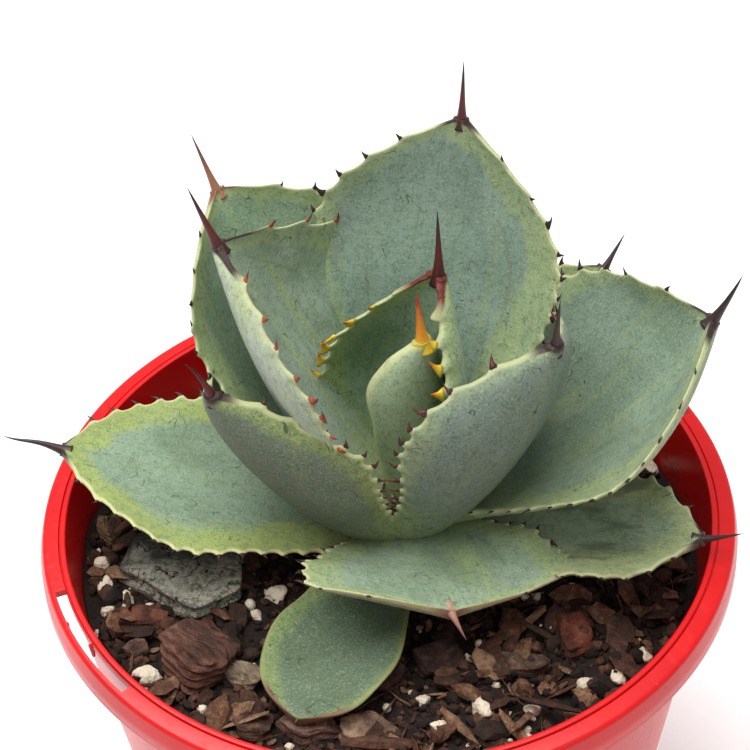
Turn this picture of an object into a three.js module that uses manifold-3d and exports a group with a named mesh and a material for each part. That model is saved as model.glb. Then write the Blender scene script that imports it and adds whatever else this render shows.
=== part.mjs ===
// A young agave in a round plastic nursery pot. Millimetres, +Z up.
// The origin is the centre of the pot's flat underside.

import * as THREE from "three";
import { mergeVertices } from "three/addons/utils/BufferGeometryUtils.js";
import { ParametricGeometry } from "three/addons/geometries/ParametricGeometry.js";
import Module from "manifold-3d";

const wasm = await Module();
wasm.setup();

// ---- Driving dimensions: the pot ----
const RIM_DIAMETER = 140;
const POT_HEIGHT = 110;
const POT_WALL = 1.3;
const POT_FLOOR = 2.5;
const POT_TAPER = 0.116;
const BASE_CHAMFER = 2;

const LEDGE_WIDTH = 4;
const LEDGE_THICKNESS = 1.4;
const LIP_RISE = 0.3;
const LIP_CHAMFER = 0.15;
const SKIRT_HEIGHT = 6;
const SKIRT_WALL = 1.1;
const SKIRT_FLARE = 0.7;
const SHOULDER_RADIUS = 1.1;

const SLOT_SPANS = [[18, 43], [198, 223]];
const SLOT_MARGIN = 0.2;
const GUSSETS_PER_SLOT = 3;
const GUSSET_THICKNESS = 0.8;
const GUSSET_HEIGHT = 3;
const GUSSET_REACH = 1;
const GUSSET_ROOT = 0.3;

const DRAIN_COUNT = 8;
const DRAIN_RADIUS = 4;
const DRAIN_CIRCLE = 38;

// ---- Driving dimensions: the soil, the stem and what fits between ----
const CLEARANCE = 0.3;
const SOIL_DROP = 14;
const SOIL_SLOPE = 0.02;
const SOIL_LUMP = 1.1;

const PLANT_X = 2.5;
const PLANT_Y = 2;
const STEM_RADIUS = 8;
const STEM_TOP_RADIUS = 3;
const STEM_ABOVE_SOIL = 14;
const STEM_IN_SOIL = 30;

// ---- Driving dimensions: what every leaf shares ----
const LEAF_BASE_THICKNESS = 6;
const LEAF_TIP_THICKNESS = 2.4;
const LEAF_MARGIN_THICKNESS = 1;
const LEAF_BASE_SHARE = 0.42;
const LEAF_SWELL = 1.6;
const LEAF_TAPER = 0.85;
const SPINE_RADIUS = 1.2;

// The soil radius that the loose pieces' places are given for, and the rim that the plant's
// reach and breadth are given for: a narrower pot holds a smaller plant.
const PLACING_RADIUS = 62;
const PLANT_RIM_DIAMETER = 140;
const LOOSE_SINK = 0.35;

// ---- How finely curves are divided ----
const POT_SEGMENTS = 60;
const SOIL_SEGMENTS = 48;
const SOIL_RINGS = 7;
const STEM_SEGMENTS = 20;
const DRAIN_SEGMENTS = 16;
const SHOULDER_STEPS = 3;
const LEAF_STEPS = 10;
const LEAF_ACROSS = 4;
const SPINE_STEPS = 3;
const MERGE_DISTANCE = 1e-4;

// ---- Sizes that follow ----
const rimRadius = RIM_DIAMETER / 2;
const skirtTopRadius = rimRadius - SKIRT_FLARE;
const lipInner = skirtTopRadius - SHOULDER_RADIUS - LEDGE_WIDTH + LIP_CHAMFER * 2;
const wallOuterTop = lipInner + POT_WALL;
const gapOuter = skirtTopRadius - SKIRT_WALL;
const soilLevel = POT_HEIGHT - SOIL_DROP;

// The wall leans out by POT_TAPER for each millimetre of height.
const wallInner = (z) => lipInner - POT_TAPER * (POT_HEIGHT - z);
const wallOuter = (z) => wallOuterTop - POT_TAPER * (POT_HEIGHT - z);
const soilRadius = wallInner(soilLevel) - CLEARANCE;
const growth = RIM_DIAMETER / PLANT_RIM_DIAMETER;
const plantX = PLANT_X * growth;
const plantY = PLANT_Y * growth;

const radians = THREE.MathUtils.degToRad;
const between = ([first, last], share) => first + (last - first) * share;

// The soil's surface: a slight slope, with long swells and short lumps on it.
function soilTop(x, y) {
  const swell = Math.sin(x / 9 + 1) * Math.cos(y / 8);
  const lumps = Math.sin(x / 3.7) * Math.sin(y / 4.3 + 0.6);
  return soilLevel - SOIL_SLOPE * x + SOIL_LUMP * (swell + 0.6 * lumps);
}

// ---- Solids ----

// A closed geometry as a solid: shared corners merged, and faces of no area at poles left out.
function toSolid(geometry) {
  const plain = geometry.clone();
  plain.deleteAttribute("normal");
  plain.deleteAttribute("uv");
  const merged = mergeVertices(plain, MERGE_DISTANCE);
  const corners = merged.index.array;
  const triangles = [];
  for (let i = 0; i < corners.length; i += 3) {
    const [a, b, c] = [corners[i], corners[i + 1], corners[i + 2]];
    if (a !== b && b !== c && c !== a) triangles.push(a, b, c);
  }
  return new wasm.Manifold(new wasm.Mesh({
    numProp: 3,
    vertProperties: new Float32Array(merged.attributes.position.array),
    triVerts: new Uint32Array(triangles),
  }));
}

// The largest of the bodies that a cut leaves.
function largest(solid) {
  const bodies = solid.decompose();
  return bodies.reduce((best, body) => (body.volume() > best.volume() ? body : best));
}

function toGeometry(solid) {
  const mesh = solid.getMesh();
  const geometry = new THREE.BufferGeometry();
  geometry.setAttribute("position", new THREE.BufferAttribute(mesh.vertProperties, 3));
  geometry.setIndex(new THREE.BufferAttribute(mesh.triVerts, 1));
  geometry.computeVertexNormals();
  return geometry;
}

function boxesMeet(a, b) {
  const [p, q] = [a.boundingBox(), b.boundingBox()];
  return [0, 1, 2].every((k) => p.min[k] <= q.max[k] && q.min[k] <= p.max[k]);
}

// What is left of a solid beside the neighbours that are already in place.
function cutBeside(solid, neighbours) {
  let rest = solid;
  for (const neighbour of neighbours) {
    if (boxesMeet(rest, neighbour)) rest = rest.subtract(neighbour);
  }
  return largest(rest);
}

// A solid of revolution about the pot's axis, from [radius, height] points on or off the axis.
function turned(points, segments) {
  const profile = points.map(([radius, height]) => new THREE.Vector2(radius, height));
  return new THREE.LatheGeometry(profile, segments).rotateX(Math.PI / 2);
}

// ---- Pot ----

function potProfile() {
  const ledgeBottom = POT_HEIGHT - LEDGE_THICKNESS;
  const skirtBottom = POT_HEIGHT - SKIRT_HEIGHT;
  const shoulder = [];
  for (let step = 0; step <= SHOULDER_STEPS; step += 1) {
    const angle = (step / SHOULDER_STEPS) * (Math.PI / 2);
    shoulder.push([
      skirtTopRadius - SHOULDER_RADIUS + SHOULDER_RADIUS * Math.cos(angle),
      POT_HEIGHT - SHOULDER_RADIUS + SHOULDER_RADIUS * Math.sin(angle),
    ]);
  }
  return [
    [0, 0],
    [wallOuter(0) - BASE_CHAMFER, 0],
    [wallOuter(BASE_CHAMFER), BASE_CHAMFER],
    [wallOuter(ledgeBottom), ledgeBottom],
    [gapOuter, ledgeBottom],
    [rimRadius - SKIRT_WALL, skirtBottom],
    [rimRadius, skirtBottom],
    ...shoulder,
    [wallOuterTop, POT_HEIGHT],
    [wallOuterTop - LIP_CHAMFER, POT_HEIGHT + LIP_RISE],
    [lipInner + LIP_CHAMFER, POT_HEIGHT + LIP_RISE],
    [lipInner, POT_HEIGHT],
    [wallInner(POT_FLOOR), POT_FLOOR],
    [0, POT_FLOOR],
  ];
}

// The cutter of one slot: a stretch of the ring between the wall and the skirt.
function slotCutter([from, to]) {
  const outline = new THREE.Shape();
  outline.absarc(0, 0, gapOuter - SLOT_MARGIN, radians(from), radians(to), false);
  outline.absarc(0, 0, wallOuterTop + SLOT_MARGIN, radians(to), radians(from), true);
  const geometry = new THREE.ExtrudeGeometry(outline, {
    depth: LEDGE_THICKNESS * 2,
    bevelEnabled: false,
    curveSegments: 8,
  });
  return toSolid(geometry.translate(0, 0, POT_HEIGHT - LEDGE_THICKNESS * 1.5));
}

// Small webs below a slot, by turns on the skirt and on the wall.
function slotGussets([from, to]) {
  const gussets = [];
  for (let i = 0; i < GUSSETS_PER_SLOT; i += 1) {
    const angle = radians(from + ((to - from) * (i + 1)) / (GUSSETS_PER_SLOT + 1));
    const z = POT_HEIGHT - LEDGE_THICKNESS - GUSSET_HEIGHT / 2;
    const onSkirt = i % 2 === 0;
    const radius = onSkirt
      ? gapOuter + GUSSET_ROOT - GUSSET_REACH / 2
      : wallOuter(z) - GUSSET_ROOT + GUSSET_REACH / 2;
    const plate = new THREE.BoxGeometry(GUSSET_REACH, GUSSET_THICKNESS, GUSSET_HEIGHT);
    gussets.push(toSolid(plate.translate(radius, 0, z).rotateZ(angle)));
  }
  return gussets;
}

function drainCutters() {
  const cutters = [];
  for (let i = 0; i < DRAIN_COUNT; i += 1) {
    const hole = new THREE.CylinderGeometry(DRAIN_RADIUS, DRAIN_RADIUS, POT_FLOOR * 3, DRAIN_SEGMENTS);
    hole.rotateX(Math.PI / 2).translate(DRAIN_CIRCLE, 0, POT_FLOOR / 2);
    cutters.push(toSolid(hole.rotateZ((i * 2 * Math.PI) / DRAIN_COUNT)));
  }
  return cutters;
}

function makePot() {
  let pot = toSolid(turned(potProfile(), POT_SEGMENTS));
  for (const span of SLOT_SPANS) {
    pot = pot.subtract(slotCutter(span));
    for (const gusset of slotGussets(span)) pot = pot.add(gusset);
  }
  for (const cutter of drainCutters()) pot = pot.subtract(cutter);
  return largest(pot);
}

// ---- Soil and stem ----

// The room inside the pot, clear of its wall by CLEARANCE and carried on above the rim.
function roomInPot() {
  const top = POT_HEIGHT * 1.5;
  const bottom = POT_FLOOR + CLEARANCE;
  return toSolid(turned([
    [0, bottom],
    [wallInner(bottom) - CLEARANCE, bottom],
    [wallInner(POT_HEIGHT) - CLEARANCE, POT_HEIGHT],
    [wallInner(POT_HEIGHT) - CLEARANCE, top],
    [0, top],
  ], POT_SEGMENTS));
}

// The soil before anything stands in it: wider than the pot, then trimmed to the room inside.
function makeSoil(room) {
  const profile = [[0, 0], [lipInner, 0]];
  for (let ring = SOIL_RINGS; ring >= 0; ring -= 1) {
    profile.push([(lipInner * ring) / SOIL_RINGS, soilLevel]);
  }
  const geometry = turned(profile, SOIL_SEGMENTS);
  const place = geometry.attributes.position;
  for (let i = 0; i < place.count; i += 1) {
    if (place.getZ(i) > soilLevel / 2) place.setZ(i, soilTop(place.getX(i), place.getY(i)));
  }
  return toSolid(geometry).intersect(room);
}

function makeStem(grow) {
  const foot = soilLevel - STEM_IN_SOIL - grow;
  const head = soilLevel + STEM_ABOVE_SOIL + grow;
  return toSolid(turned([
    [0, foot],
    [STEM_RADIUS / 2 + grow, foot],
    [STEM_RADIUS + grow, soilLevel],
    [STEM_TOP_RADIUS + grow, head],
    [0, head],
  ], STEM_SEGMENTS).translate(plantX, plantY, 0));
}

// ---- Leaves ----

// facing: compass direction seen from above, degrees from +X. reach and lift: where the base
// starts, out from the plant's axis and up from the soil. rise: slope at the base and at the tip.
// cup: half the angle that the section bends through, at the base and at the tip. roll: the turn
// about the midrib, at the base and at the tip, positive where the margin on the left, looking
// outwards, is raised. widest: where the width peaks, as a share of the length. taper: how sharply
// the outline closes on the tip, LEAF_TAPER where none is given.
const LEAVES = {
  leaf_heart: {
    facing: -35, reach: 4, lift: 14, length: 43, width: 22,
    rise: [85, 91], cup: [62, 62], roll: [0, 0], widest: 0.7, spine: 10, taper: 0.7,
    color: 0x93a98c,
  },
  leaf_inner: {
    facing: 45, reach: 3, lift: 14, length: 49, width: 42,
    rise: [76, 83], cup: [70, 82], roll: [0, 0], widest: 0.48, spine: 14, color: 0x7f9783,
  },
  leaf_left: {
    facing: 160, reach: 3, lift: 17, length: 61, width: 58,
    rise: [57, 64], cup: [50, 56], roll: [6, 8], widest: 0.6, spine: 14, color: 0x94a995,
  },
  leaf_front_right: {
    facing: -24, reach: 4, lift: 10, length: 60, width: 51,
    rise: [44, 82], cup: [50, 55], roll: [-8, -20], widest: 0.66, spine: 10, color: 0x8b9c8c,
  },
  leaf_back: {
    facing: 62, reach: 4, lift: 18, length: 72, width: 53,
    rise: [56, 80], cup: [35, 28], roll: [0, 0], widest: 0.64, spine: 12, color: 0x86a08f,
  },
  leaf_front_left: {
    facing: 198, reach: 4, lift: 9, length: 55, width: 47,
    rise: [34, 76], cup: [50, 55], roll: [10, 26], widest: 0.57, spine: 10, color: 0x7c8f7d,
  },
  leaf_right: {
    facing: 3, reach: 4, lift: 10, length: 72, width: 60,
    rise: [20, 55], cup: [38, 38], roll: [0, 5], widest: 0.67, spine: 12, color: 0x92a892,
  },
  leaf_back_left: {
    facing: 137, reach: 4, lift: 12, length: 70, width: 53,
    rise: [52, 58], cup: [30, 35], roll: [0, 0], widest: 0.66, spine: 12, color: 0x78917a,
  },
  leaf_back_right: {
    facing: 38, reach: 5, lift: 8, length: 62, width: 44,
    rise: [25, 42], cup: [30, 35], roll: [0, 0], widest: 0.55, spine: 8, color: 0x86997c,
  },
  leaf_low_back: {
    facing: 100, reach: 5, lift: 5, length: 54, width: 40,
    rise: [24, 20], cup: [15, 20], roll: [0, 0], widest: 0.6, spine: 9, color: 0x86997c,
  },
  leaf_front: {
    facing: -76, reach: 4, lift: 7, length: 34, width: 53,
    rise: [32, 3], cup: [12, 15], roll: [0, -16], widest: 0.78, spine: 8, color: 0x8ea592,
  },
  leaf_low_right: {
    facing: -20, reach: 5, lift: 5, length: 58, width: 29,
    rise: [14, 14], cup: [20, 20], roll: [0, 0], widest: 0.68, spine: 9, color: 0x8ba07f,
  },
  leaf_low_left: {
    facing: 176, reach: 5, lift: 4, length: 66, width: 41,
    rise: [22, 18], cup: [10, 12], roll: [0, 0], widest: 0.62, spine: 12, color: 0x93a884,
  },
  leaf_old: {
    facing: -113, reach: 8, lift: 2, length: 46, width: 26,
    rise: [10, 0], cup: [20, 15], roll: [0, 0], widest: 0.62, spine: 1.5, taper: 0.55,
    color: 0x80947a,
  },
};

// Half the width at a share t of the length: a sine rise to the widest place, then a cosine fall.
function leafHalfWidth(leaf, t) {
  const half = (leaf.width * growth) / 2;
  if (t < leaf.widest) {
    const rise = Math.sin((Math.PI / 2) * (t / leaf.widest)) ** LEAF_SWELL;
    return half * (LEAF_BASE_SHARE + (1 - LEAF_BASE_SHARE) * rise);
  }
  const fall = Math.cos((Math.PI / 2) * ((t - leaf.widest) / (1 - leaf.widest)));
  return Math.max(half * Math.max(fall, 0) ** (leaf.taper ?? LEAF_TAPER), SPINE_RADIUS);
}

// The direction along the midrib, and the two square to it, at a share t of the length.
function leafAxes(leaf, t) {
  const slope = radians(between(leaf.rise, t));
  const facing = radians(leaf.facing);
  const out = new THREE.Vector3(Math.cos(facing), Math.sin(facing), 0);
  const up = new THREE.Vector3(0, 0, 1);
  const along = out.clone().multiplyScalar(Math.cos(slope)).addScaledVector(up, Math.sin(slope));
  const normal = out.clone().multiplyScalar(-Math.sin(slope)).addScaledVector(up, Math.cos(slope));
  const across = normal.clone().cross(along);
  const roll = radians(between(leaf.roll, t));
  normal.applyAxisAngle(along, roll);
  across.applyAxisAngle(along, roll);
  return { along, normal, across };
}

// The sections of a leaf from its base to the point of its spine, grown outwards by grow.
function leafStations(leaf, grow) {
  const facing = radians(leaf.facing);
  const place = new THREE.Vector3(
    plantX + leaf.reach * growth * Math.cos(facing),
    plantY + leaf.reach * growth * Math.sin(facing),
    soilLevel + leaf.lift,
  );
  const step = (leaf.length * growth) / LEAF_STEPS;
  const stations = [];
  for (let i = 0; i <= LEAF_STEPS; i += 1) {
    const t = i / LEAF_STEPS;
    if (i > 0) place.addScaledVector(leafAxes(leaf, t - 0.5 / LEAF_STEPS).along, step);
    stations.push({
      place: place.clone(),
      axes: leafAxes(leaf, t),
      half: leafHalfWidth(leaf, t),
      cup: radians(between(leaf.cup, t)),
      thickness: between([LEAF_BASE_THICKNESS, LEAF_TIP_THICKNESS], t),
      margin: LEAF_MARGIN_THICKNESS,
    });
  }
  const tip = stations[LEAF_STEPS];
  const spine = leaf.spine * growth;
  for (let i = 1; i < SPINE_STEPS; i += 1) {
    const left = 1 - i / SPINE_STEPS;
    stations.push({
      ...tip,
      place: tip.place.clone().addScaledVector(tip.axes.along, spine * (1 - left)),
      half: SPINE_RADIUS * left,
      thickness: LEAF_TIP_THICKNESS * left,
      margin: LEAF_MARGIN_THICKNESS * left,
    });
  }
  stations[0].place.addScaledVector(stations[0].axes.along, -grow);
  return { stations, point: tip.place.clone().addScaledVector(tip.axes.along, spine + grow) };
}

// A point of a section. side runs from 1 to -1 across it. The upper face is an arc about a centre
// above the midrib, and the lower face is further from that centre by the leaf's thickness.
function sectionPoint(station, side, lower, grow, target) {
  const radius = station.half / station.cup;
  const thickness = station.margin + (station.thickness - station.margin) * (1 - side * side);
  const angle = side * (station.cup + grow / radius);
  const distance = radius + (lower ? thickness + grow : -grow);
  return target.copy(station.place)
    .addScaledVector(station.axes.across, distance * Math.sin(angle))
    .addScaledVector(station.axes.normal, radius - distance * Math.cos(angle));
}

// A leaf with its spine, as one closed skin: rings of points from a pole in the base to the point.
function makeLeaf(leaf, grow) {
  const { stations, point } = leafStations(leaf, grow);
  const slices = 2 * (LEAF_ACROSS + 1);
  const stacks = stations.length + 1;
  const skin = (u, v, target) => {
    const slice = Math.round(u * slices) % slices;
    const stack = Math.round(v * stacks);
    if (stack === stacks) return target.copy(point);
    const station = stations[Math.max(stack - 1, 0)];
    if (stack === 0) {
      const middle = station.thickness / 2;
      return target.copy(station.place).addScaledVector(station.axes.normal, -middle);
    }
    const lower = slice > LEAF_ACROSS;
    const along = (lower ? slice - LEAF_ACROSS - 1 : slice) / LEAF_ACROSS;
    return sectionPoint(station, lower ? 2 * along - 1 : 1 - 2 * along, lower, grow, target);
  };
  return toSolid(new ParametricGeometry(skin, slices, stacks));
}

// ---- Loose pieces on the soil ----

// at: place on the soil from the pot's axis, for a soil of PLACING_RADIUS. size: length, breadth
// and height. turn: about the upright. tilt: lean of the length from level.
const CHIPS = {
  bark_slab: { at: [-42, -7], size: [27, 25, 11], turn: -12, tilt: 6, color: 0x6d7468 },
  bark_lump: { at: [-37, -28], size: [14, 19, 12], turn: 10, tilt: 5, color: 0x5c453c },
  bark_upright: { at: [-54, 17], size: [9, 11, 22], turn: 20, tilt: 8, color: 0x4a3b32 },
  bark_cut_end: { at: [-57, 5], size: [6, 6, 11], turn: 0, tilt: 0, color: 0x9a8672 },
  bark_chip_rust: { at: [-49, -18], size: [13, 7, 6], turn: -25, tilt: 10, color: 0x6b4c40 },
  bark_chip_small: { at: [-50, -25], size: [6, 5, 5], turn: 15, tilt: 0, color: 0x5f473d },
  bark_chip_tan: { at: [-29, -34], size: [9, 6, 5], turn: 20, tilt: 12, color: 0x8b7b6a },
  bark_chip_left: { at: [-27, -44], size: [9, 8, 6], turn: -20, tilt: 6, color: 0x6e564b },
  bark_chip_front: { at: [-17, -45], size: [13, 9, 6], turn: 10, tilt: 8, color: 0x83685a },
  bark_chip_pale: { at: [-6, -48], size: [13, 8, 5], turn: 30, tilt: 10, color: 0x927c6a },
  bark_chip_middle: { at: [-2, -34], size: [10, 9, 6], turn: 40, tilt: 5, color: 0x5a4038 },
  bark_chip_dark: { at: [8, -29], size: [11, 10, 6], turn: -30, tilt: 10, color: 0x4b3b36 },
  bark_chip_red: { at: [35, -26], size: [7, 13, 5], turn: 12, tilt: 5, color: 0x6d4536 },
  bark_chip_slim: { at: [43, -28], size: [4, 11, 5], turn: 25, tilt: 0, color: 0x5b4034 },
  bark_smooth: { at: [47, -13], size: [14, 10, 8], turn: 5, tilt: 0, color: 0x4b3831 },
  bark_right: { at: [53, -3], size: [11, 9, 7], turn: 30, tilt: 5, color: 0x43332c },
  bark_splinter: { at: [22, -33], size: [16, 4, 4], turn: -15, tilt: 5, color: 0x5f4838 },
};

const PERLITE = [
  { at: [-47, -32], size: 6.5 },
  { at: [-58, -3], size: 4.2 },
  { at: [-59, -21], size: 4 },
  { at: [-57, -9], size: 4.2 },
  { at: [-52, -12], size: 4.4 },
  { at: [-56, -15], size: 3.8 },
  { at: [-23, -13], size: 5 },
  { at: [-27, -18], size: 3.2 },
  { at: [-34, -43], size: 4 },
  { at: [8, -48], size: 4.4 },
  { at: [13, -51], size: 4.2 },
  { at: [16, -43], size: 5.6 },
  { at: [5, -40], size: 3.8 },
  { at: [25, -43], size: 3.8 },
  { at: [36, -38], size: 5 },
  { at: [42, -37], size: 3.8 },
  { at: [48, -31], size: 3.6 },
  { at: [56, 20], size: 4.6 },
  { at: [-52, 28], size: 4 },
];
const PERLITE_COLOR = 0xe6dfd0;

// A fixed uneven value between -1 and 1 for each direction and seed.
function unevenness(point, seed) {
  const wave = Math.sin(point.x * 5.1 + seed) + Math.sin(point.y * 4.3 + seed * 1.7);
  return (wave + Math.sin(point.z * 4.9 + seed * 2.3)) / 3;
}

// A lump: a ball of flat faces, drawn out to its size, uneven and grown outwards by grow.
function makeLump(ball, { at, size, turn, tilt }, roughness, seed, grow) {
  const place = ball.attributes.position;
  const point = new THREE.Vector3();
  for (let i = 0; i < place.count; i += 1) {
    point.fromBufferAttribute(place, i).normalize();
    point.multiplyScalar(1 + roughness * unevenness(point, seed));
    place.setXYZ(
      i,
      point.x * (size[0] / 2 + grow),
      point.y * (size[1] / 2 + grow),
      point.z * (size[2] / 2 + grow),
    );
  }
  const spread = soilRadius / PLACING_RADIUS;
  const [x, y] = at.map((value) => value * spread);
  const z = soilTop(x, y) + size[2] * (0.5 - LOOSE_SINK);
  return toSolid(ball.rotateY(radians(tilt)).rotateZ(radians(turn)).translate(x, y, z));
}

const CHIP_ROUGHNESS = 0.16;
const PERLITE_ROUGHNESS = 0.12;

const chipBall = () => new THREE.IcosahedronGeometry(1, 1);
const perliteBall = () => new THREE.OctahedronGeometry(1, 1);

// ---- Assembly ----

const agave = new THREE.Group();
agave.name = "potted_agave";

function addNode(name, solid, color, roughness) {
  const material = new THREE.MeshStandardMaterial({ color, roughness, metalness: 0 });
  const mesh = new THREE.Mesh(toGeometry(solid), material);
  mesh.name = name;
  agave.add(mesh);
}

addNode("pot", makePot(), 0xd8201c, 0.25);
addNode("stem", makeStem(0), 0x8f9a78, 0.8);

// Each leaf is cut beside the stem and the leaves further in, then takes its own room.
const taken = [makeStem(CLEARANCE)];
for (const [name, leaf] of Object.entries(LEAVES)) {
  addNode(name, cutBeside(makeLeaf(leaf, 0), taken), leaf.color, 0.6);
  taken.push(makeLeaf(leaf, CLEARANCE));
}

// The loose pieces stay inside the pot and beside what is in place already.
const room = roomInPot();
Object.entries(CHIPS).forEach(([name, chip], seed) => {
  const solid = makeLump(chipBall(), chip, CHIP_ROUGHNESS, seed, 0);
  addNode(name, cutBeside(solid.intersect(room), taken), chip.color, 0.9);
  taken.push(makeLump(chipBall(), chip, CHIP_ROUGHNESS, seed, CLEARANCE));
});
PERLITE.forEach(({ at, size }, seed) => {
  const grain = { at, size: [size, size * 0.85, size * 0.8], turn: seed * 40, tilt: 0 };
  const solid = makeLump(perliteBall(), grain, PERLITE_ROUGHNESS, seed, 0);
  const name = `perlite_${String(seed + 1).padStart(2, "0")}`;
  addNode(name, cutBeside(solid.intersect(room), taken), PERLITE_COLOR, 0.95);
  taken.push(makeLump(perliteBall(), grain, PERLITE_ROUGHNESS, seed, CLEARANCE));
});

// The soil is laid last, around everything that stands or lies in it.
addNode("soil", cutBeside(makeSoil(room), taken), 0x2e241e, 1);

export default agave;
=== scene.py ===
"""A young agave in a red plastic nursery pot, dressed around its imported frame.

The frame is in metres, with +Z up and the pot's flat underside at the origin. Sizes here are in
millimetres, and a Shell turns them into metres when it becomes a piece.
"""

import itertools
import logging
import math
from dataclasses import dataclass, field
from enum import Enum

import bmesh
import bpy
import numpy as np
from mathutils import Matrix, Vector


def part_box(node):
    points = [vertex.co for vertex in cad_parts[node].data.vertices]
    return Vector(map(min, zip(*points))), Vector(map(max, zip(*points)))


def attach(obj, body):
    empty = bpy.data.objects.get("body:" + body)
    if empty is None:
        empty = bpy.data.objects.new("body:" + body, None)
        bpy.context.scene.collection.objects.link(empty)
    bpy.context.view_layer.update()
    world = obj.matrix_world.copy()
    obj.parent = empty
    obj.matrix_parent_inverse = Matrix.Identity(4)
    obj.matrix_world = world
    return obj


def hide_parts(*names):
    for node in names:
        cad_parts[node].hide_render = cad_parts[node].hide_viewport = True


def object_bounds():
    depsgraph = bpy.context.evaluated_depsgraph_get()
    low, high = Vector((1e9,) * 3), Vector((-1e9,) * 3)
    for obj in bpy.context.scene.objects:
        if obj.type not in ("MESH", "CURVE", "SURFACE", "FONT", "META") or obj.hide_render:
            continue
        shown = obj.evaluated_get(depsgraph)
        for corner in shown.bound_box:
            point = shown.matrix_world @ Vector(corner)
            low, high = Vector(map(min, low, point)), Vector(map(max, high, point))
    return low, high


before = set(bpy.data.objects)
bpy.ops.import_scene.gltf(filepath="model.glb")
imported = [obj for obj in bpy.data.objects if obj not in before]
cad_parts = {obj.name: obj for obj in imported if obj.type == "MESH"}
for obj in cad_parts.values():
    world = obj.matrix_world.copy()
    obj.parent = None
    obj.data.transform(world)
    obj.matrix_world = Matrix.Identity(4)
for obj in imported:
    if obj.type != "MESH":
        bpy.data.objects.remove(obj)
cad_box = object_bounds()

Array = np.ndarray
Color = tuple[float, float, float]

MM = 0.001
BODY = "root"
TURN = 2 * math.pi

log = logging.getLogger("potted_agave")


# ---- Numbers on arrays ----

def between(ends: tuple[float, float], share: Array | float) -> Array | float:
    """The value a share of the way from the first of two ends to the second."""
    return ends[0] + (ends[1] - ends[0]) * share


def ease(value: Array, low: float, high: float) -> Array:
    """0 below low, 1 above high and a smooth step, 3x^2 - 2x^3, between."""
    share = np.clip((value - low) / (high - low), 0, 1)
    return share * share * (3 - 2 * share)


def unit(vectors: Array) -> Array:
    """Each vector at length 1."""
    return vectors / np.linalg.norm(vectors, axis=-1, keepdims=True)


def lattice_noise(points: Array, cell: float, seed: int) -> Array:
    """Smooth noise from -1 to 1.

    Each corner of a cubic lattice takes a value from a hash of its place, and a point blends the
    eight corners around it by the smooth step of its share of the cell.

    Args:
        points: places, three numbers on the last axis.
        cell: the lattice's spacing, in the same unit.
        seed: another seed gives another pattern.

    Returns:
        One value for each place.
    """
    place = points / cell + seed * 7.31
    low = np.floor(place).astype(np.int64)
    share = place - low
    share = share * share * (3 - 2 * share)
    total = np.zeros(points.shape[:-1])
    for corner in itertools.product((0, 1), repeat=3):
        at = low + np.array(corner)
        mixed = at[..., 0] * 73856093 ^ at[..., 1] * 19349663 ^ at[..., 2] * 83492791
        mixed = (mixed ^ mixed >> 13) * 1274126177
        value = ((mixed ^ mixed >> 16) & 0xFFFF) / 0x7FFF - 1
        total += value * np.prod(np.where(corner, share, 1 - share), axis=-1)
    return total


def layered_noise(points: Array, cell: float, seed: int, layers: int) -> Array:
    """Lattice noise in layers, each at half the cell and half the strength of the one before."""
    return sum(lattice_noise(points, cell / 2 ** k, seed + k) / 2 ** k for k in range(layers))


def random_turns(rng: np.random.Generator, count: int) -> Array:
    """Evenly random rotation matrices, one for each of count, from unit quaternions."""
    w, x, y, z = unit(rng.normal(size=(count, 4))).T
    rows = [[1 - 2 * (y * y + z * z), 2 * (x * y - z * w), 2 * (x * z + y * w)],
            [2 * (x * y + z * w), 1 - 2 * (x * x + z * z), 2 * (y * z - x * w)],
            [2 * (x * z - y * w), 2 * (y * z + x * w), 1 - 2 * (x * x + y * y)]]
    return np.moveaxis(np.array(rows), -1, 0)


def circle(count: int) -> tuple[Array, Array]:
    """The cosines and sines of count even steps round a circle."""
    angles = np.arange(count) * TURN / count
    return np.cos(angles), np.sin(angles)


def globe(polar: Array, columns: int) -> Array:
    """Points of a ball of radius 1.

    Args:
        polar: each ring's angle from the top.
        columns: points in a ring.

    Returns:
        Points by ring, by place in the ring and by axis.
    """
    x, y = circle(columns)
    wide, high = np.sin(polar)[:, None], np.cos(polar)[:, None]
    return np.stack([wide * x, wide * y, np.repeat(high, columns, axis=1)], axis=-1)


def swung(x: Array, y: Array, z: Array, angle: float) -> Array:
    """Places x, y, z swung anticlockwise about the vertical axis."""
    cos, sin = math.cos(angle), math.sin(angle)
    return np.stack([x * cos - y * sin, x * sin + y * cos, np.broadcast_to(z, x.shape)], axis=-1)


def box_mm(node: str) -> tuple[Array, Array]:
    """A CAD node's lowest and highest corners, in millimetres."""
    low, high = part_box(node)
    return np.array(low) / MM, np.array(high) / MM


# ---- Faces ----

def tube_quads(rows: int, columns: int) -> Array:
    """The quads of a tube, which face outwards where its points run anticlockwise from the last row.

    Args:
        rows: how many rings it has.
        columns: how many points a ring has; each ring is closed.

    Returns:
        Four point numbers for each quad.
    """
    ring, around = np.meshgrid(np.arange(rows - 1), np.arange(columns), indexing="ij")
    after = (around + 1) % columns
    quads = [ring * columns + around, ring * columns + after,
             (ring + 1) * columns + after, (ring + 1) * columns + around]
    return np.stack(quads, axis=-1).reshape(-1, 4)


def fan(pole: int, ring: Array, inwards: bool) -> Array:
    """Triangles from a pole to a closed ring of points, turned round if inwards."""
    after = np.roll(ring, -1)
    sides = (after, ring) if inwards else (ring, after)
    return np.stack([np.full(len(ring), pole), *sides], axis=-1)


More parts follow.
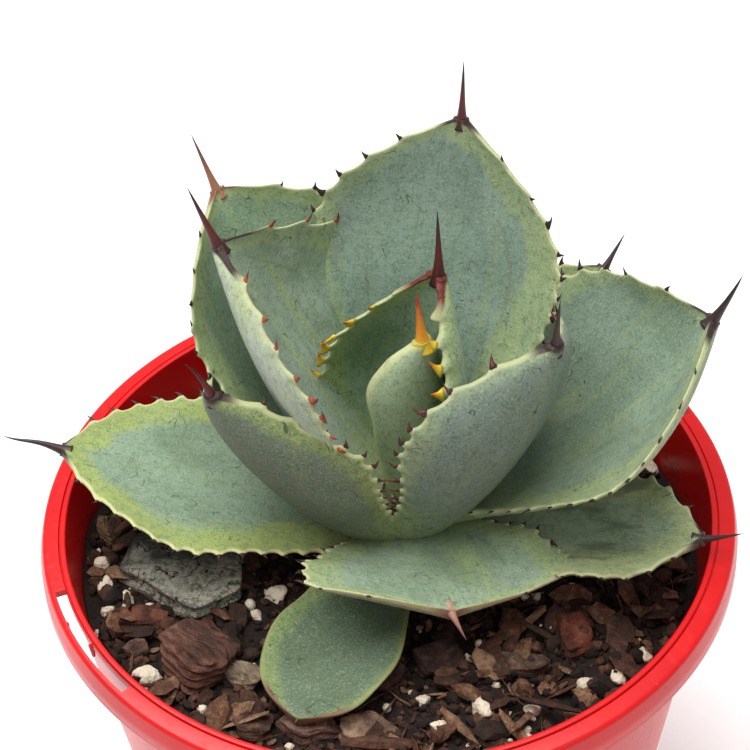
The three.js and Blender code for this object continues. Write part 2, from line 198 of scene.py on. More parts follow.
@dataclass
class Shell:
    """Places and faces collected for one piece, with named values at its points."""

    places: list[Array] = field(default_factory=list)
    faces: list[Array] = field(default_factory=list)
    finishes: list[Array] = field(default_factory=list)
    values: dict[str, list[Array]] = field(default_factory=dict)
    count: int = 0

    def add(self, places: Array, faces: list[Array], finish: int = 0, **values: Array) -> None:
        """Adds a patch.

        Args:
            places: its points, in millimetres.
            faces: arrays of its quads or triangles, counted from its own first point.
            finish: which of the piece's materials it takes.
            values: named values, one number or three for each point.
        """
        flat = places.reshape(-1, 3)
        for group in faces:
            self.faces.append(group + self.count)
            self.finishes.append(np.full(len(group), finish))
        for name, value in values.items():
            shape = (len(flat), 3) if np.shape(value)[-1:] == (3,) else (len(flat),)
            self.values.setdefault(name, []).append(np.asarray(value, float).reshape(shape))
        self.places.append(flat)
        self.count += len(flat)

    def tube(self, places: Array, finish: int = 0, **values: Array) -> None:
        """Adds a tube whose first and last rings are each closed by a fan to their middle.

        Args:
            places: its points, by row, by column and by axis.
            finish: which of the piece's materials it takes.
            values: named values, one number or three for each point.
        """
        rows, columns = places.shape[:2]
        poles = places[[0, -1]].mean(axis=1)
        ring = np.arange(columns)
        faces = [tube_quads(rows, columns), fan(rows * columns, ring, True),
                 fan(rows * columns + 1, ring + (rows - 1) * columns, False)]
        closed = {}
        for name, value in values.items():
            grid = np.broadcast_to(value, places.shape[:2] + np.shape(value)[2:])
            flat = grid.reshape((rows * columns,) + grid.shape[2:])
            closed[name] = np.concatenate([flat, grid[[0, -1]].mean(axis=1)])
        self.add(np.concatenate([places.reshape(-1, 3), poles]), faces, finish, **closed)

    def piece(self, name: str, materials: list[bpy.types.Material], sharp: float = 180) -> bpy.types.Object:
        """Makes the shell an object, in metres.

        Args:
            name: the piece's name.
            materials: its materials, in the order of its finishes.
            sharp: edges bent by more degrees than this are shaded sharp.

        Returns:
            The new object, at the origin.
        """
        mesh = bpy.data.meshes.new(name)
        places = np.concatenate(self.places) * MM
        mesh.vertices.add(len(places))
        mesh.vertices.foreach_set("co", places.ravel())
        corners = np.concatenate([group.ravel() for group in self.faces])
        sides = np.concatenate([np.full(len(group), group.shape[1]) for group in self.faces])
        mesh.loops.add(len(corners))
        mesh.loops.foreach_set("vertex_index", corners.astype(np.int32))
        mesh.polygons.add(len(sides))
        mesh.polygons.foreach_set("loop_start", (np.cumsum(sides) - sides).astype(np.int32))
        mesh.polygons.foreach_set("material_index", np.concatenate(self.finishes).astype(np.int32))
        for key, parts in self.values.items():
            value = np.concatenate(parts)
            kind, slot = ("FLOAT", "value") if value.ndim == 1 else ("FLOAT_VECTOR", "vector")
            mesh.attributes.new(key, kind, "POINT").data.foreach_set(slot, value.ravel())
        mesh.update(calc_edges=True)
        mesh.validate()
        mesh.shade_smooth()
        if sharp < 180:
            mesh.set_sharp_from_angle(angle=math.radians(sharp))
        for material in materials:
            mesh.materials.append(material)
        made = bpy.data.objects.new(name, mesh)
        bpy.context.scene.collection.objects.link(made)
        return made


def settle(made: bpy.types.Object, slot: str, *nodes: str) -> None:
    """Puts a piece on the frame's body, in the stead of CAD nodes."""
    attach(made, BODY)
    if nodes:
        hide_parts(*nodes)
    log.info("%s: %d faces, for %s", made.name, len(made.data.polygons), ", ".join(nodes) or "no node")


# ---- Finishes ----

def shade(code: str) -> Color:
    """A colour written as red, green and blue in hexadecimal, as linear light."""
    parts = [int(code[k:k + 2], 16) / 255 for k in (0, 2, 4)]
    return tuple(c / 12.92 if c <= 0.04045 else ((c + 0.055) / 1.055) ** 2.4 for c in parts)


class Wire:
    """A socket in a material, on which arithmetic adds Math nodes."""

    def __init__(self, nodes: "Nodes", socket: bpy.types.NodeSocket) -> None:
        """Wraps a socket of a material's nodes."""
        self.nodes = nodes
        self.socket = socket

    def math(self, operation: str, *values: "Wire | float") -> "Wire":
        """A Math node on these values."""
        return self.nodes.node("ShaderNodeMath", {"operation": operation}, dict(enumerate(values)))

    def __add__(self, other: "Wire | float") -> "Wire":
        """The sum."""
        return self.math("ADD", self, other)

    def __sub__(self, other: "Wire | float") -> "Wire":
        """The difference."""
        return self.math("SUBTRACT", self, other)

    def __rsub__(self, other: float) -> "Wire":
        """The difference, the other way."""
        return self.math("SUBTRACT", other, self)

    def __mul__(self, other: "Wire | float") -> "Wire":
        """The product."""
        return self.math("MULTIPLY", self, other)

    __radd__ = __add__

    def size(self) -> "Wire":
        """The value without its sign."""
        return self.math("ABSOLUTE", self)

    def most(self, other: "Wire | float") -> "Wire":
        """The larger of the two."""
        return self.math("MAXIMUM", self, other)

    def fade(self, low: float, high: float) -> "Wire":
        """0 at low and 1 at high, with a smooth step between."""
        settings = {"interpolation_type": "SMOOTHSTEP", "clamp": True}
        falling = low > high
        ends = {"Value": self, "From Min": min(low, high), "From Max": max(low, high),
                "To Min": float(falling), "To Max": float(not falling)}
        return self.nodes.node("ShaderNodeMapRange", settings, ends)


class Nodes:
    """A new material with one Principled shader, built up node by node."""

    def __init__(self, name: str, **constants: float | Color) -> None:
        """Starts a material.

        Args:
            name: its name.
            constants: the shader's own values, with _ for a space in a socket's name.
        """
        self.material = bpy.data.materials.new(name)
        self.material.use_nodes = True
        self.tree = self.material.node_tree
        self.tree.nodes.clear()
        self.shader = self.tree.nodes.new("ShaderNodeBsdfPrincipled")
        output = self.tree.nodes.new("ShaderNodeOutputMaterial")
        self.tree.links.new(self.shader.outputs[0], output.inputs[0])
        for key, value in constants.items():
            title = key.replace("_", " ").title().replace("Ior", "IOR")
            self.feed(self.shader.inputs[title], value)

    def feed(self, socket: bpy.types.NodeSocket, value: Wire | float | Color) -> None:
        """Links or sets a socket, and makes a colour of three numbers one of four."""
        if isinstance(value, Wire):
            self.tree.links.new(value.socket, socket)
        elif isinstance(value, tuple) and socket.type == "RGBA":
            socket.default_value = (*value, 1.0)
        else:
            socket.default_value = value

    def node(self, kind: str, settings: dict, inputs: dict, output: int | str = 0) -> Wire:
        """Adds a node.

        Args:
            kind: its type.
            settings: its own settings, or a ramp's stops.
            inputs: a value or a link for each socket, by name or number.
            output: the socket to hand back.

        Returns:
            The chosen output.
        """
        node = self.tree.nodes.new(kind)
        for key, value in settings.items():
            if key == "stops":
                for _ in range(len(value) - len(node.color_ramp.elements)):
                    node.color_ramp.elements.new(0.5)
                for element, (place, color) in zip(node.color_ramp.elements, value):
                    element.position = place
                    element.color = (*color, 1.0)
            else:
                setattr(node, key, value)
        for key, value in inputs.items():
            self.feed(node.inputs[key], value)
        return Wire(self, node.outputs[output])

    def place(self) -> Wire:
        """Where the surface is, in metres."""
        return self.node("ShaderNodeTexCoord", {}, {}, "Object")

    def value(self, name: str, output: str = "Fac") -> Wire:
        """One of the piece's own named values."""
        return self.node("ShaderNodeAttribute", {"attribute_name": name}, {}, output)

    def stretched(self, vector: Wire, scale: Color) -> Wire:
        """A vector with each axis scaled."""
        return self.node("ShaderNodeMapping", {}, {"Vector": vector, "Scale": scale})

    def noise(self, size: float, vector: Wire, detail: float = 3, roughness: float = 0.5) -> Wire:
        """Noise about 0.5, with features of a size in millimetres."""
        inputs = {"Vector": vector, "Scale": 1 / (size * MM), "Detail": detail, "Roughness": roughness}
        return self.node("ShaderNodeTexNoise", {}, inputs)

    def cells(self, size: float, vector: Wire) -> Wire:
        """The distance to the nearest of points that are a size in millimetres apart."""
        inputs = {"Vector": vector, "Scale": 1 / (size * MM)}
        return self.node("ShaderNodeTexVoronoi", {}, inputs, "Distance")

    def blend(self, share: Wire | float, first: Wire | Color, second: Wire | Color) -> Wire:
        """A colour between two."""
        settings = {"data_type": "RGBA", "clamp_factor": True}
        return self.node("ShaderNodeMix", settings, {0: share, 6: first, 7: second}, 2)

    def coats(self, color: Wire, *coats: tuple[Wire | float, str]) -> Wire:
        """A colour under coats of others, each with its share and its hexadecimal code."""
        for share, code in coats:
            color = self.blend(share, color, shade(code))
        return color

    def ramp(self, share: Wire, *stops: tuple[float, str]) -> Wire:
        """A colour from a ramp, whose stops have a share and a hexadecimal code."""
        colors = [(place, shade(code)) for place, code in stops]
        return self.node("ShaderNodeValToRGB", {"stops": colors}, {0: share})

    def height(self, axis: str, vector: Wire) -> Wire:
        """One of a vector's three numbers."""
        return self.node("ShaderNodeSeparateXYZ", {}, {0: vector}, axis)

    def finish(self, color: Wire, roughness: Wire, relief: Wire, depth: float) -> bpy.types.Material:
        """Feeds the shader.

        Args:
            color: its base colour.
            roughness: its roughness.
            relief: its height, from 0 to 1.
            depth: what a height of 1 stands for, in millimetres.

        Returns:
            The material.
        """
        bump = self.node("ShaderNodeBump", {}, {"Height": relief, "Strength": 1.0, "Distance": depth * MM})
        self.feed(self.shader.inputs["Base Color"], color)
        self.feed(self.shader.inputs["Roughness"], roughness)
        self.feed(self.shader.inputs["Normal"], bump)
        return self.material


@dataclass(frozen=True)
class LeafSkin:
    """Waxy leaf skin: a pale bloom worn off in patches, a lime band inside the margin, and horn.

    band_width: the band's width at the left and the right margin, looking outwards. horn_run: how
    far horn runs back along the margins. horn_cap: how far it covers the tip. Those are in
    millimetres, and the other numbers are strengths from 0 to 1.
    """

    bloom: str = "93a592"
    worn: str = "76896f"
    band: str = "a3b26c"
    margin: str = "bcbd8c"
    heel: str = "b0bc82"
    # under: the lower face's colour; its dark values on the front leaves are painted shade.
    under: str = "88978a"
    horn: str = "2f1a18"
    band_width: tuple[float, float] = (5.0, 5.0)
    band_strength: float = 0.6
    stripes: float = 0.3
    horn_run: float = 4.0
    horn_cap: float = 0.9
    marks: float = 0.5
    wetness: float = 0.0

    def material(self, name: str) -> bpy.types.Material:
        """Builds the skin.

        The band is where the distance from the margin is less than its width, which noise
        varies. Nicks are the lines where a noise passes its middle, kept in scattered patches.
        The print of the next bud is a line at a share of the half-width. Horn covers the tip and
        runs back from it along the margins.

        Args:
            name: the material's name.

        Returns:
            The material.
        """
        nodes = Nodes(name, specular_ior_level=0.35, sheen_weight=0.06)
        place = nodes.place()
        flow = nodes.value("flow", "Vector")
        edge, tip = nodes.value("edge"), nodes.value("tip")
        along, across = nodes.value("along"), nodes.value("across")
        under = nodes.value("under")
        clouds = nodes.noise(15, place, 5, 0.6)
        drift = nodes.noise(9, nodes.stretched(flow, (0.3, 1, 1)), 5, 0.6)
        stripes = nodes.noise(6, nodes.stretched(flow, (0.07, 1, 1)), 3)
        streaks = nodes.noise(1.1, nodes.stretched(flow, (0.08, 1, 1)), 4, 0.6)
        mottle = nodes.noise(1.5, place, 5, 0.75)
        specks = nodes.noise(0.45, place, 3, 0.75)
        patches = nodes.noise(4.2, place, 2)

        left, right = self.band_width
        reach = (across * (0.5 * (left - right)) + 0.5 * (left + right)) * (drift * 2.4 - 0.2)
        inside = (reach - edge).fade(-1.4, 2.2) * self.band_strength
        bright = stripes.fade(0.52, 0.66) * drift.fade(0.36, 0.6) * self.stripes
        dots = specks.fade(0.49, 0.64) * mottle.fade(0.4, 0.56)
        mark = (across.size() + (along - 0.5) * (along - 0.5) * 1.5 - drift * 0.3 - 0.42).size()
        nicks = (nodes.noise(3.6, place, 1) - 0.5).size().fade(0.014, 0.004) * patches.fade(0.6, 0.66)
        spots = nodes.cells(5.5, place).fade(0.11, 0.05) * patches.fade(0.5, 0.6)
        run = edge.fade(0.85, 0.4) * tip.fade(self.horn_run + 2, self.horn_run - 2)
        horny = run.most((tip + mottle).fade(self.horn_cap + 1.5, self.horn_cap))
        wet = drift.fade(0.5, 0.6) * self.wetness

        color = nodes.blend(clouds.fade(0.4, 0.64) * 0.85, shade(self.bloom), shade(self.worn))
        color = nodes.coats(
            color,
            # The under coat colours the lower face: a greyer tone, and on leaf_front_left and
            # leaf_front_right a dark one that is painted shade on undersides facing down, away from the
            # light.
            (under * 0.9, self.under),
            (bright, self.band),
            (inside * (1.2 - mottle * 0.7), self.band),
            (along.fade(0.32, 0.0) * 0.7, self.heel),
            (streaks.fade(0.5, 0.72) * 0.3, "66795f"),
            (mottle.fade(0.48, 0.66) * self.marks * 0.6, "566b50"),
            (dots * self.marks, "48593f"),
            (specks.fade(0.47, 0.36) * 0.2, "c3ccb9"),
            (mark.fade(0.03, 0.0) * clouds.fade(0.42, 0.56) * 0.35, "5a6c54"),
            (nicks * self.marks * 1.2, "3f5034"),
            (spots * self.marks, "6e5d43"),
            (edge.fade(0.9, 0.25) * 0.65, self.margin),
            (horny, self.horn),
            (wet * 0.7, "3f4c34"))
        roughness = 0.66 - wet * 0.34 - clouds * 0.12 + specks * 0.1 - horny * 0.25
        relief = streaks * 0.4 + specks * 0.35 + clouds + mottle * 0.5 - nicks * 0.5
        return nodes.finish(color, roughness, relief, 0.3)


class HornTone(Enum):
    """Colours of a spine or tooth, from its root to its point."""

    DARK = ("2f1a18", "321c1d", "171113")
    RED = ("a4441c", "7a2018", "37181a")
    AMBER = ("d2bc38", "d8a01e", "a8561a")
    FLAME = ("d0b42c", "d8821c", "9c2414")
    TAN = ("9a6a48", "8a5a44", "54352b")
    PINK = ("a8826e", "96695c", "5c3833")
    WINE = ("34140f", "5e1c19", "261016")

    def material(self, name: str) -> bpy.types.Material:
        """Polished horn whose colour runs from root to point, finely lined along its length."""
        nodes = Nodes(name, specular_ior_level=0.5)
        place = nodes.place()
        mottle = nodes.noise(1.1, place, 3)
        lines = nodes.noise(0.22, place, 2)
        root, middle, point = self.value
        share = nodes.value("horn") + (mottle - 0.5) * 0.35
        color = nodes.ramp(share, (0.0, root), (0.4, middle), (0.9, point))
        color = nodes.coats(color, (lines.fade(0.55, 0.75) * 0.3, "2a1a16"))
        return nodes.finish(color, mottle * 0.25 + 0.28, lines + mottle * 0.6, 0.06)


@dataclass(frozen=True)
class PotPlastic:
    """Glossy moulded plastic with faint flow marks, scuffs and soil dust where mix has touched it."""

    red: str = "d20b10"
    deep: str = "ab070c"
    dust: str = "5b3a2a"

    def material(self, name: str, soil_level: float, foot: float, taper: float) -> bpy.types.Material:
        """Builds the plastic.

        Dust lies within the wall's inside, whose radius is the foot's plus the taper times the
        height, and it thins out above the mix.

        Args:
            name: the material's name.
            soil_level: the mix's height, in millimetres.
            foot: the radius of the wall's inside at height 0.
            taper: how far the wall leans out for each millimetre of height.

        Returns:
            The material.
        """
        nodes = Nodes(name, specular_ior_level=0.4)
        place = nodes.place()
        flow = nodes.noise(26, nodes.stretched(place, (1, 1, 0.4)), 3)
        scuffs = nodes.noise(2.2, nodes.stretched(place, (1, 1, 5)), 4, 0.7)
        orange_peel = nodes.noise(1.4, place, 2)
        color = nodes.blend(flow.fade(0.35, 0.7) * 0.5, shade(self.red), shade(self.deep))
        height = nodes.height("Z", place) * (1 / MM)
        radius = nodes.node("ShaderNodeVectorMath", {"operation": "LENGTH"},
                            {0: nodes.stretched(place, (1, 1, 0))}, "Value") * (1 / MM)
        within = (radius - height * taper).fade(foot + 0.6, foot + 0.3)
        low = (height - soil_level).fade(8.0, 1.0)
        dusty = within * low * scuffs.fade(0.44, 0.62)
        specks = nodes.cells(3.4, place).fade(0.09, 0.05) * flow.fade(0.42, 0.6)
        color = nodes.coats(color, (dusty * 0.75, self.dust), (specks * 0.5, "7a4a3a"))
        roughness = 0.3 + scuffs.fade(0.5, 0.75) * 0.16 + dusty * 0.45 + specks * 0.3
        return nodes.finish(color, roughness, orange_peel * 0.6 + scuffs.fade(0.6, 0.7) * 0.25, 0.03)


@dataclass(frozen=True)
class Bark:
    """Weathered bark in thin layers, with dark cracks and, on old slabs, moss and lichen."""

    light: str = "7d6252"
    dark: str = "2c1f1a"
    grey: str = "8d8376"
    moss: float = 0.0

    def material(self, name: str) -> bpy.types.Material:
        """Builds the bark from noise drawn out along its layers; moss grows to the back of a slab."""
        nodes = Nodes(name, specular_ior_level=0.25)
        place = nodes.place()
        layers = nodes.noise(1.5, nodes.stretched(place, (0.4, 0.4, 2.4)), 5, 0.65)
        patches = nodes.noise(5, place, 4)
        cracks = nodes.cells(3.2, nodes.stretched(place, (0.5, 1, 1.6)))
        grit = nodes.noise(0.45, place, 3, 0.75)
        color = nodes.ramp(layers, (0.3, self.dark), (0.52, self.light), (0.75, self.grey))
        color = nodes.coats(
            color,
            (patches.fade(0.42, 0.62) * 0.65, self.dark),
            (grit.fade(0.56, 0.7) * 0.5, self.grey),
            (cracks.fade(0.1, 0.02) * 0.7, "140e0c"))
        if self.moss:
            behind = nodes.height("Y", place) * (1 / MM) + patches * 14
            lichen = nodes.noise(1.1, place, 5, 0.7).fade(0.4, 0.58) * behind.fade(2.5, -4.5)
            mossy = grit.fade(0.38, 0.55) * behind.fade(-1, 5)
            splits = (nodes.noise(5.5, place, 3) - 0.5).size().fade(0.014, 0.004)
            color = nodes.coats(color, (lichen * self.moss, "a7a392"), (mossy * self.moss, "252b1a"),
                                (splits, "191611"))
        relief = layers * 1.2 + grit * 0.5 + cracks.fade(0.0, 0.25) * 0.6
        return nodes.finish(color, 0.95 - patches * 0.3, relief, 0.9)


@dataclass(frozen=True)
class PottingMix:
    """Dark composted bark, damp in places."""

    def material(self, name: str) -> bpy.types.Material:
        """Builds the mix; each crumb's own tone, where it has one, picks its colour."""
        nodes = Nodes(name, specular_ior_level=0.3)
        place = nodes.place()
        tone = nodes.value("tone") + (nodes.noise(1.3, place, 5, 0.65) - 0.5) * 0.9
        color = nodes.ramp(tone, (0.1, "15100c"), (0.35, "2a1c14"), (0.6, "442c20"), (0.8, "63422f"),
                           (1.0, "8c6f54"))
        grit = nodes.noise(0.5, place, 4, 0.7)
        color = nodes.coats(color, (grit.fade(0.52, 0.7) * 0.5, "1d130e"))
        damp = nodes.noise(9, place, 2).fade(0.4, 0.6)
        return nodes.finish(color, 0.92 - damp * 0.3, grit, 0.5)


@dataclass(frozen=True)
class Perlite:
    """Foamed glass: chalky, off-white, full of pits and stained by the mix."""

    def material(self, name: str) -> bpy.types.Material:
        """Builds the grain from cells for the pits and noise for the stains."""
        nodes = Nodes(name, specular_ior_level=0.35, subsurface_weight=0.08)
        place = nodes.place()
        pits = nodes.cells(0.7, place)
        stains = nodes.noise(2.4, place, 4, 0.6)
        color = nodes.blend(stains.fade(0.5, 0.72) * 0.6, shade("d6c5ae"), shade("94795e"))
        color = nodes.coats(color, (pits.fade(0.26, 0.08) * 0.3, "9c8873"))
        return nodes.finish(color, 0.8 + stains * 0.15, pits + stains * 0.5, 0.25)


@dataclass(frozen=True)
class StemTissue:
    """The pale, scarred flesh of the short stem."""

    def material(self, name: str) -> bpy.types.Material:
        """Builds the stem from rings of old leaf scars and fine fibres."""
        nodes = Nodes(name, specular_ior_level=0.3)
        place = nodes.place()
        scars = nodes.noise(1.2, nodes.stretched(place, (0.3, 0.3, 2)), 4)
        fibres = nodes.noise(0.4, nodes.stretched(place, (1, 1, 0.2)), 3)
        color = nodes.ramp(scars, (0.35, "5d5a38"), (0.55, "a5ad80"), (0.75, "c4c69a"))
        return nodes.finish(color, 0.6 + fibres * 0.3, scars + fibres * 0.4, 0.4)


# ---- The pot ----

@dataclass
class Pot:
    """The moulded pot: tapered wall, inner lip, groove, ledge with two open slots, and skirt.

    taper: how far the wall leans out for each millimetre of height. slots: where each slot starts
    and stops, in degrees from +X. gusset_half: half a gusset's depth and thickness. drain_land: the
    flat floor kept beside the drain holes.
    """

    wall: float = 1.3
    floor: float = 2.5
    taper: float = 0.116
    foot_round: float = 2.0
    ledge: float = 1.4
    lip_width: float = 1.3
    lip_rise: float = 0.3
    skirt: float = 6.0
    skirt_wall: float = 1.1
    skirt_flare: float = 0.7
    ledge_width: float = 3.7
    shoulder: float = 1.1
    groove: float = 0.35
    crown: float = 0.12
    slots: tuple[tuple[float, float], ...] = ((18, 43), (198, 223))
    slot_margin: float = 0.2
    gussets: int = 3
    gusset_drop: float = 3.1
    gusset_half: tuple[float, float] = (0.6, 0.4)
    drains: int = 8
    drain_radius: float = 4.0
    drain_circle: float = 38.0
    drain_land: float = 3.0
    around: int = 480
    drain_rings: int = 6

    def __post_init__(self) -> None:
        """Reads the rim's radius and the pot's height from the frame."""
        low, high = box_mm("pot")
        self.rim = (high[0] - low[0]) / 2
        self.height = high[2] - self.lip_rise
        self.top_radius = self.rim - self.skirt_flare
        self.lip_inner = self.top_radius - self.shoulder - self.ledge_width
        self.gap = (self.lip_inner + self.lip_width, self.top_radius - self.skirt_wall)
        reach = self.drain_radius + self.drain_land
        self.drain_ring = (self.drain_circle - reach, self.drain_circle + reach)

    def inner(self, z: Array | float) -> Array | float:
        """The radius of the wall's inside at a height: it leans out by the taper."""
        return self.lip_inner - self.taper * (self.height - z)

    def outer(self, z: Array | float) -> Array | float:
        """The radius of the wall's outside at a height."""
        return self.inner(z) + self.wall

    @staticmethod
    def arc(middle: tuple[float, float], radius: float, start: float, end: float, steps: int) -> list:
        """Points on an arc of the profile, from start to end degrees."""
        angles = np.radians(np.linspace(start, end, steps + 1))
        return [(middle[0] + radius * math.cos(a), middle[1] + radius * math.sin(a)) for a in angles]

    def profile(self) -> tuple[Array, dict[str, int]]:
        """The pot's section, from the floor's underside round the rim to the floor's top.

        Returns:
            Its points as radius and height, and where the slot's four corners stand in it.
        """
        height, under = self.height, self.height - self.ledge
        foot = self.outer(0)
        slot_in, slot_out = self.gap[0] + self.slot_margin, self.gap[1] - self.slot_margin
        hem = height - self.skirt
        middle = self.rim - self.skirt_wall / 2
        crest = self.top_radius - self.shoulder
        points = [(self.drain_ring[1], 0)]
        points += self.arc((foot - self.foot_round, self.foot_round), self.foot_round, -90, -8, 6)
        points += [(self.outer(z), z) for z in np.linspace(self.foot_round + 2, under - 0.5, 14)]
        points += [(slot_in - 0.02, under), (slot_in, under), (slot_out, under)]
        corners = {"under_in": len(points) - 2, "under_out": len(points) - 1}
        points += [(self.rim - self.skirt_wall - 0.1, under - 0.6)]
        points += [(self.rim - self.skirt_wall, hem + 0.5)]
        points += self.arc((middle, hem + 0.35), self.skirt_wall / 2, 200, 340, 6)
        points += [(self.rim - 0.15, height - self.skirt / 2)]
        points += self.arc((crest, height - self.shoulder), self.shoulder, 0, 90, 8)
        points += [(slot_out, height + self.crown * 0.4)]
        corners["top_out"] = len(points) - 1
        points += [(slot_in, height + self.crown)]
        corners["top_in"] = len(points) - 1
        lip_low, bottom = self.gap[0], height - self.groove
        points += [(lip_low + 0.1, height), (lip_low, bottom), (lip_low - 0.12, bottom)]
        rounding = self.lip_rise
        points += self.arc((lip_low - 0.14 - rounding, height), rounding, 0, 90, 4)
        points += self.arc((self.lip_inner + rounding, height), rounding, 90, 180, 4)
        points += [(self.inner(z), z) for z in np.linspace(height - 1, self.floor + 1.5, 14)]
        points += self.arc((self.inner(self.floor) - 1, self.floor + 1), 1.0, 0, -90, 4)
        points += [(self.drain_ring[1], self.floor)]
        return np.array(points), corners

    def shell(self) -> Shell:
        """The wall and rim as a profile carried round the axis, less the slots' faces.

        Returns:
            The shell, with the slots' sides, the gussets and the drained floor added.
        """
        profile, corners = self.profile()
        ring = np.stack(circle(self.around), axis=-1)
        places = np.empty((len(profile), self.around, 3))
        places[..., :2] = profile[:, None, :1] * ring
        places[..., 2] = profile[:, 1:]
        quads = tube_quads(len(profile), self.around)
        row, column = quads[:, 0] // self.around, quads[:, 0] % self.around
        open_column = np.zeros(self.around, bool)
        for first, last in self.slots:
            open_column[round(first * self.around / 360):round(last * self.around / 360)] = True
        slotted = (row == corners["under_in"]) | (row == corners["top_out"])
        kept = quads[~(slotted & open_column[column])]
        shell = Shell()
        shell.add(places, [kept, self.slot_sides(corners, open_column)])
        for span in self.slots:
            self.add_gussets(shell, span)
        self.add_floor(shell)
        return shell

    def slot_sides(self, corners: dict[str, int], open_column: Array) -> Array:
        """The faces that line the slots.

        Args:
            corners: the rows of the profile at the slot's corners.
            open_column: which columns the slots take.

        Returns:
            Quads for the inner and outer walls and for the ends where each slot starts and stops.
        """
        def wall(*points: tuple[str, Array]) -> Array:
            """Quads between four corners, each with its columns."""
            return np.stack([corners[corner] * self.around + columns % self.around
                             for corner, columns in points], axis=-1)

        here = np.flatnonzero(open_column)
        after = here + 1
        first = here[~open_column[here - 1]]
        last = after[~open_column[after % self.around]]
        inner = wall(("top_in", here), ("top_in", after), ("under_in", after), ("under_in", here))
        outer = wall(("top_out", here), ("top_out", after), ("under_out", after), ("under_out", here))
        start, stop = (wall(("top_in", end), ("top_out", end), ("under_out", end), ("under_in", end))
                       for end in (first, last))
        return np.concatenate([inner[:, ::-1], outer, start, stop[:, ::-1]])

    def add_gussets(self, shell: Shell, span: tuple[float, float]) -> None:
        """Adds small webs below a slot, by turns on the skirt and on the wall.

        Each is a rounded plate, a superellipse round its height, that tapers downwards.

        Args:
            shell: what they are added to.
            span: where the slot starts and stops, in degrees.
        """
        x, y = circle(16)
        bulge, breadth = (np.sign(v) * np.abs(v) ** 0.4 for v in (x, y))
        fall = np.linspace(1, 0, 5)[:, None]
        top = self.height - self.ledge + 0.1
        deep, thick = self.gusset_half
        for k in range(self.gussets):
            angle = math.radians(between(span, (k + 1) / (self.gussets + 1)))
            radius = self.gap[1] - 0.1 if k % 2 == 0 else self.gap[0] + 0.1
            out = radius + deep * (1 - 0.5 * fall) * bulge
            across = thick * (1 - 0.2 * fall) * breadth
            shell.tube(swung(out, across, top - self.gusset_drop * fall, angle))

    def add_floor(self, shell: Shell) -> None:
        """Adds the floor with its drain holes.

        A ring of the floor is cut into one sector for each hole. The outline of a sector is
        drawn in to the hole's circle by a straight blend, on the top and on the underside, and a
        short wall joins the two circles.

        Args:
            shell: what it is added to.
        """
        near, far = self.drain_ring
        count = self.around // self.drains
        half = math.pi / self.drains
        sweep = np.linspace(-half, half, count + 1)
        rise = np.linspace(near, far, 9)
        sides = [(np.full(count, far), sweep[:-1]), (rise[:0:-1], np.full(8, half)),
                 (np.full(count, near), sweep[:0:-1]), (rise[:-1], np.full(8, -half))]
        radius, bearing = np.concatenate([np.stack(side) for side in sides], axis=1)
        rim = np.stack([radius * np.cos(bearing), radius * np.sin(bearing)], axis=-1)
        centre = np.array([self.drain_circle, 0])
        hole = centre + self.drain_radius * unit(rim - centre)
        share = np.linspace(0, 1, self.drain_rings)[:, None, None]
        sheet = rim * (1 - share) + hole * share
        flat = np.concatenate([sheet, sheet[::-1]])
        level = np.repeat([0.0, self.floor], self.drain_rings)[:, None]
        faces = [tube_quads(*flat.shape[:2])[:, ::-1]]
        for k in range(self.drains):
            shell.add(swung(flat[..., 0], flat[..., 1], level, TURN * k / self.drains), faces)
        angles = np.arange(self.around) * TURN / self.around - half
        for z, inwards in ((0.0, True), (self.floor, False)):
            level = np.full(self.around, z)
            disc = np.stack([near * np.cos(angles), near * np.sin(angles), level], axis=-1)
            disc = np.concatenate([disc, [[0, 0, z]]])
            shell.add(disc, [fan(self.around, np.arange(self.around), inwards)])

    def make(self, soil_level: float) -> None:
        """Makes the pot and puts it in the stead of its node.

        Args:
            soil_level: the mix's height, in millimetres.
        """
        plastic = PotPlastic().material("pot_plastic", soil_level, float(self.inner(0)), self.taper)
        made = self.shell().piece("pot_shell", [plastic], sharp=35)
        merge(made, distance=0.004)
        settle(made, "pot_plastic", "pot")


def merge(made: bpy.types.Object, distance: float) -> None:
    """Joins points of a piece that lie within a distance, in millimetres, of each other."""
    work = bmesh.new()
    work.from_mesh(made.data)
    bmesh.ops.remove_doubles(work, verts=work.verts, dist=distance * MM)
    bmesh.ops.recalc_face_normals(work, faces=work.faces)
    work.to_mesh(made.data)
    work.free()


# ---- The mix and what is strewn on it ----

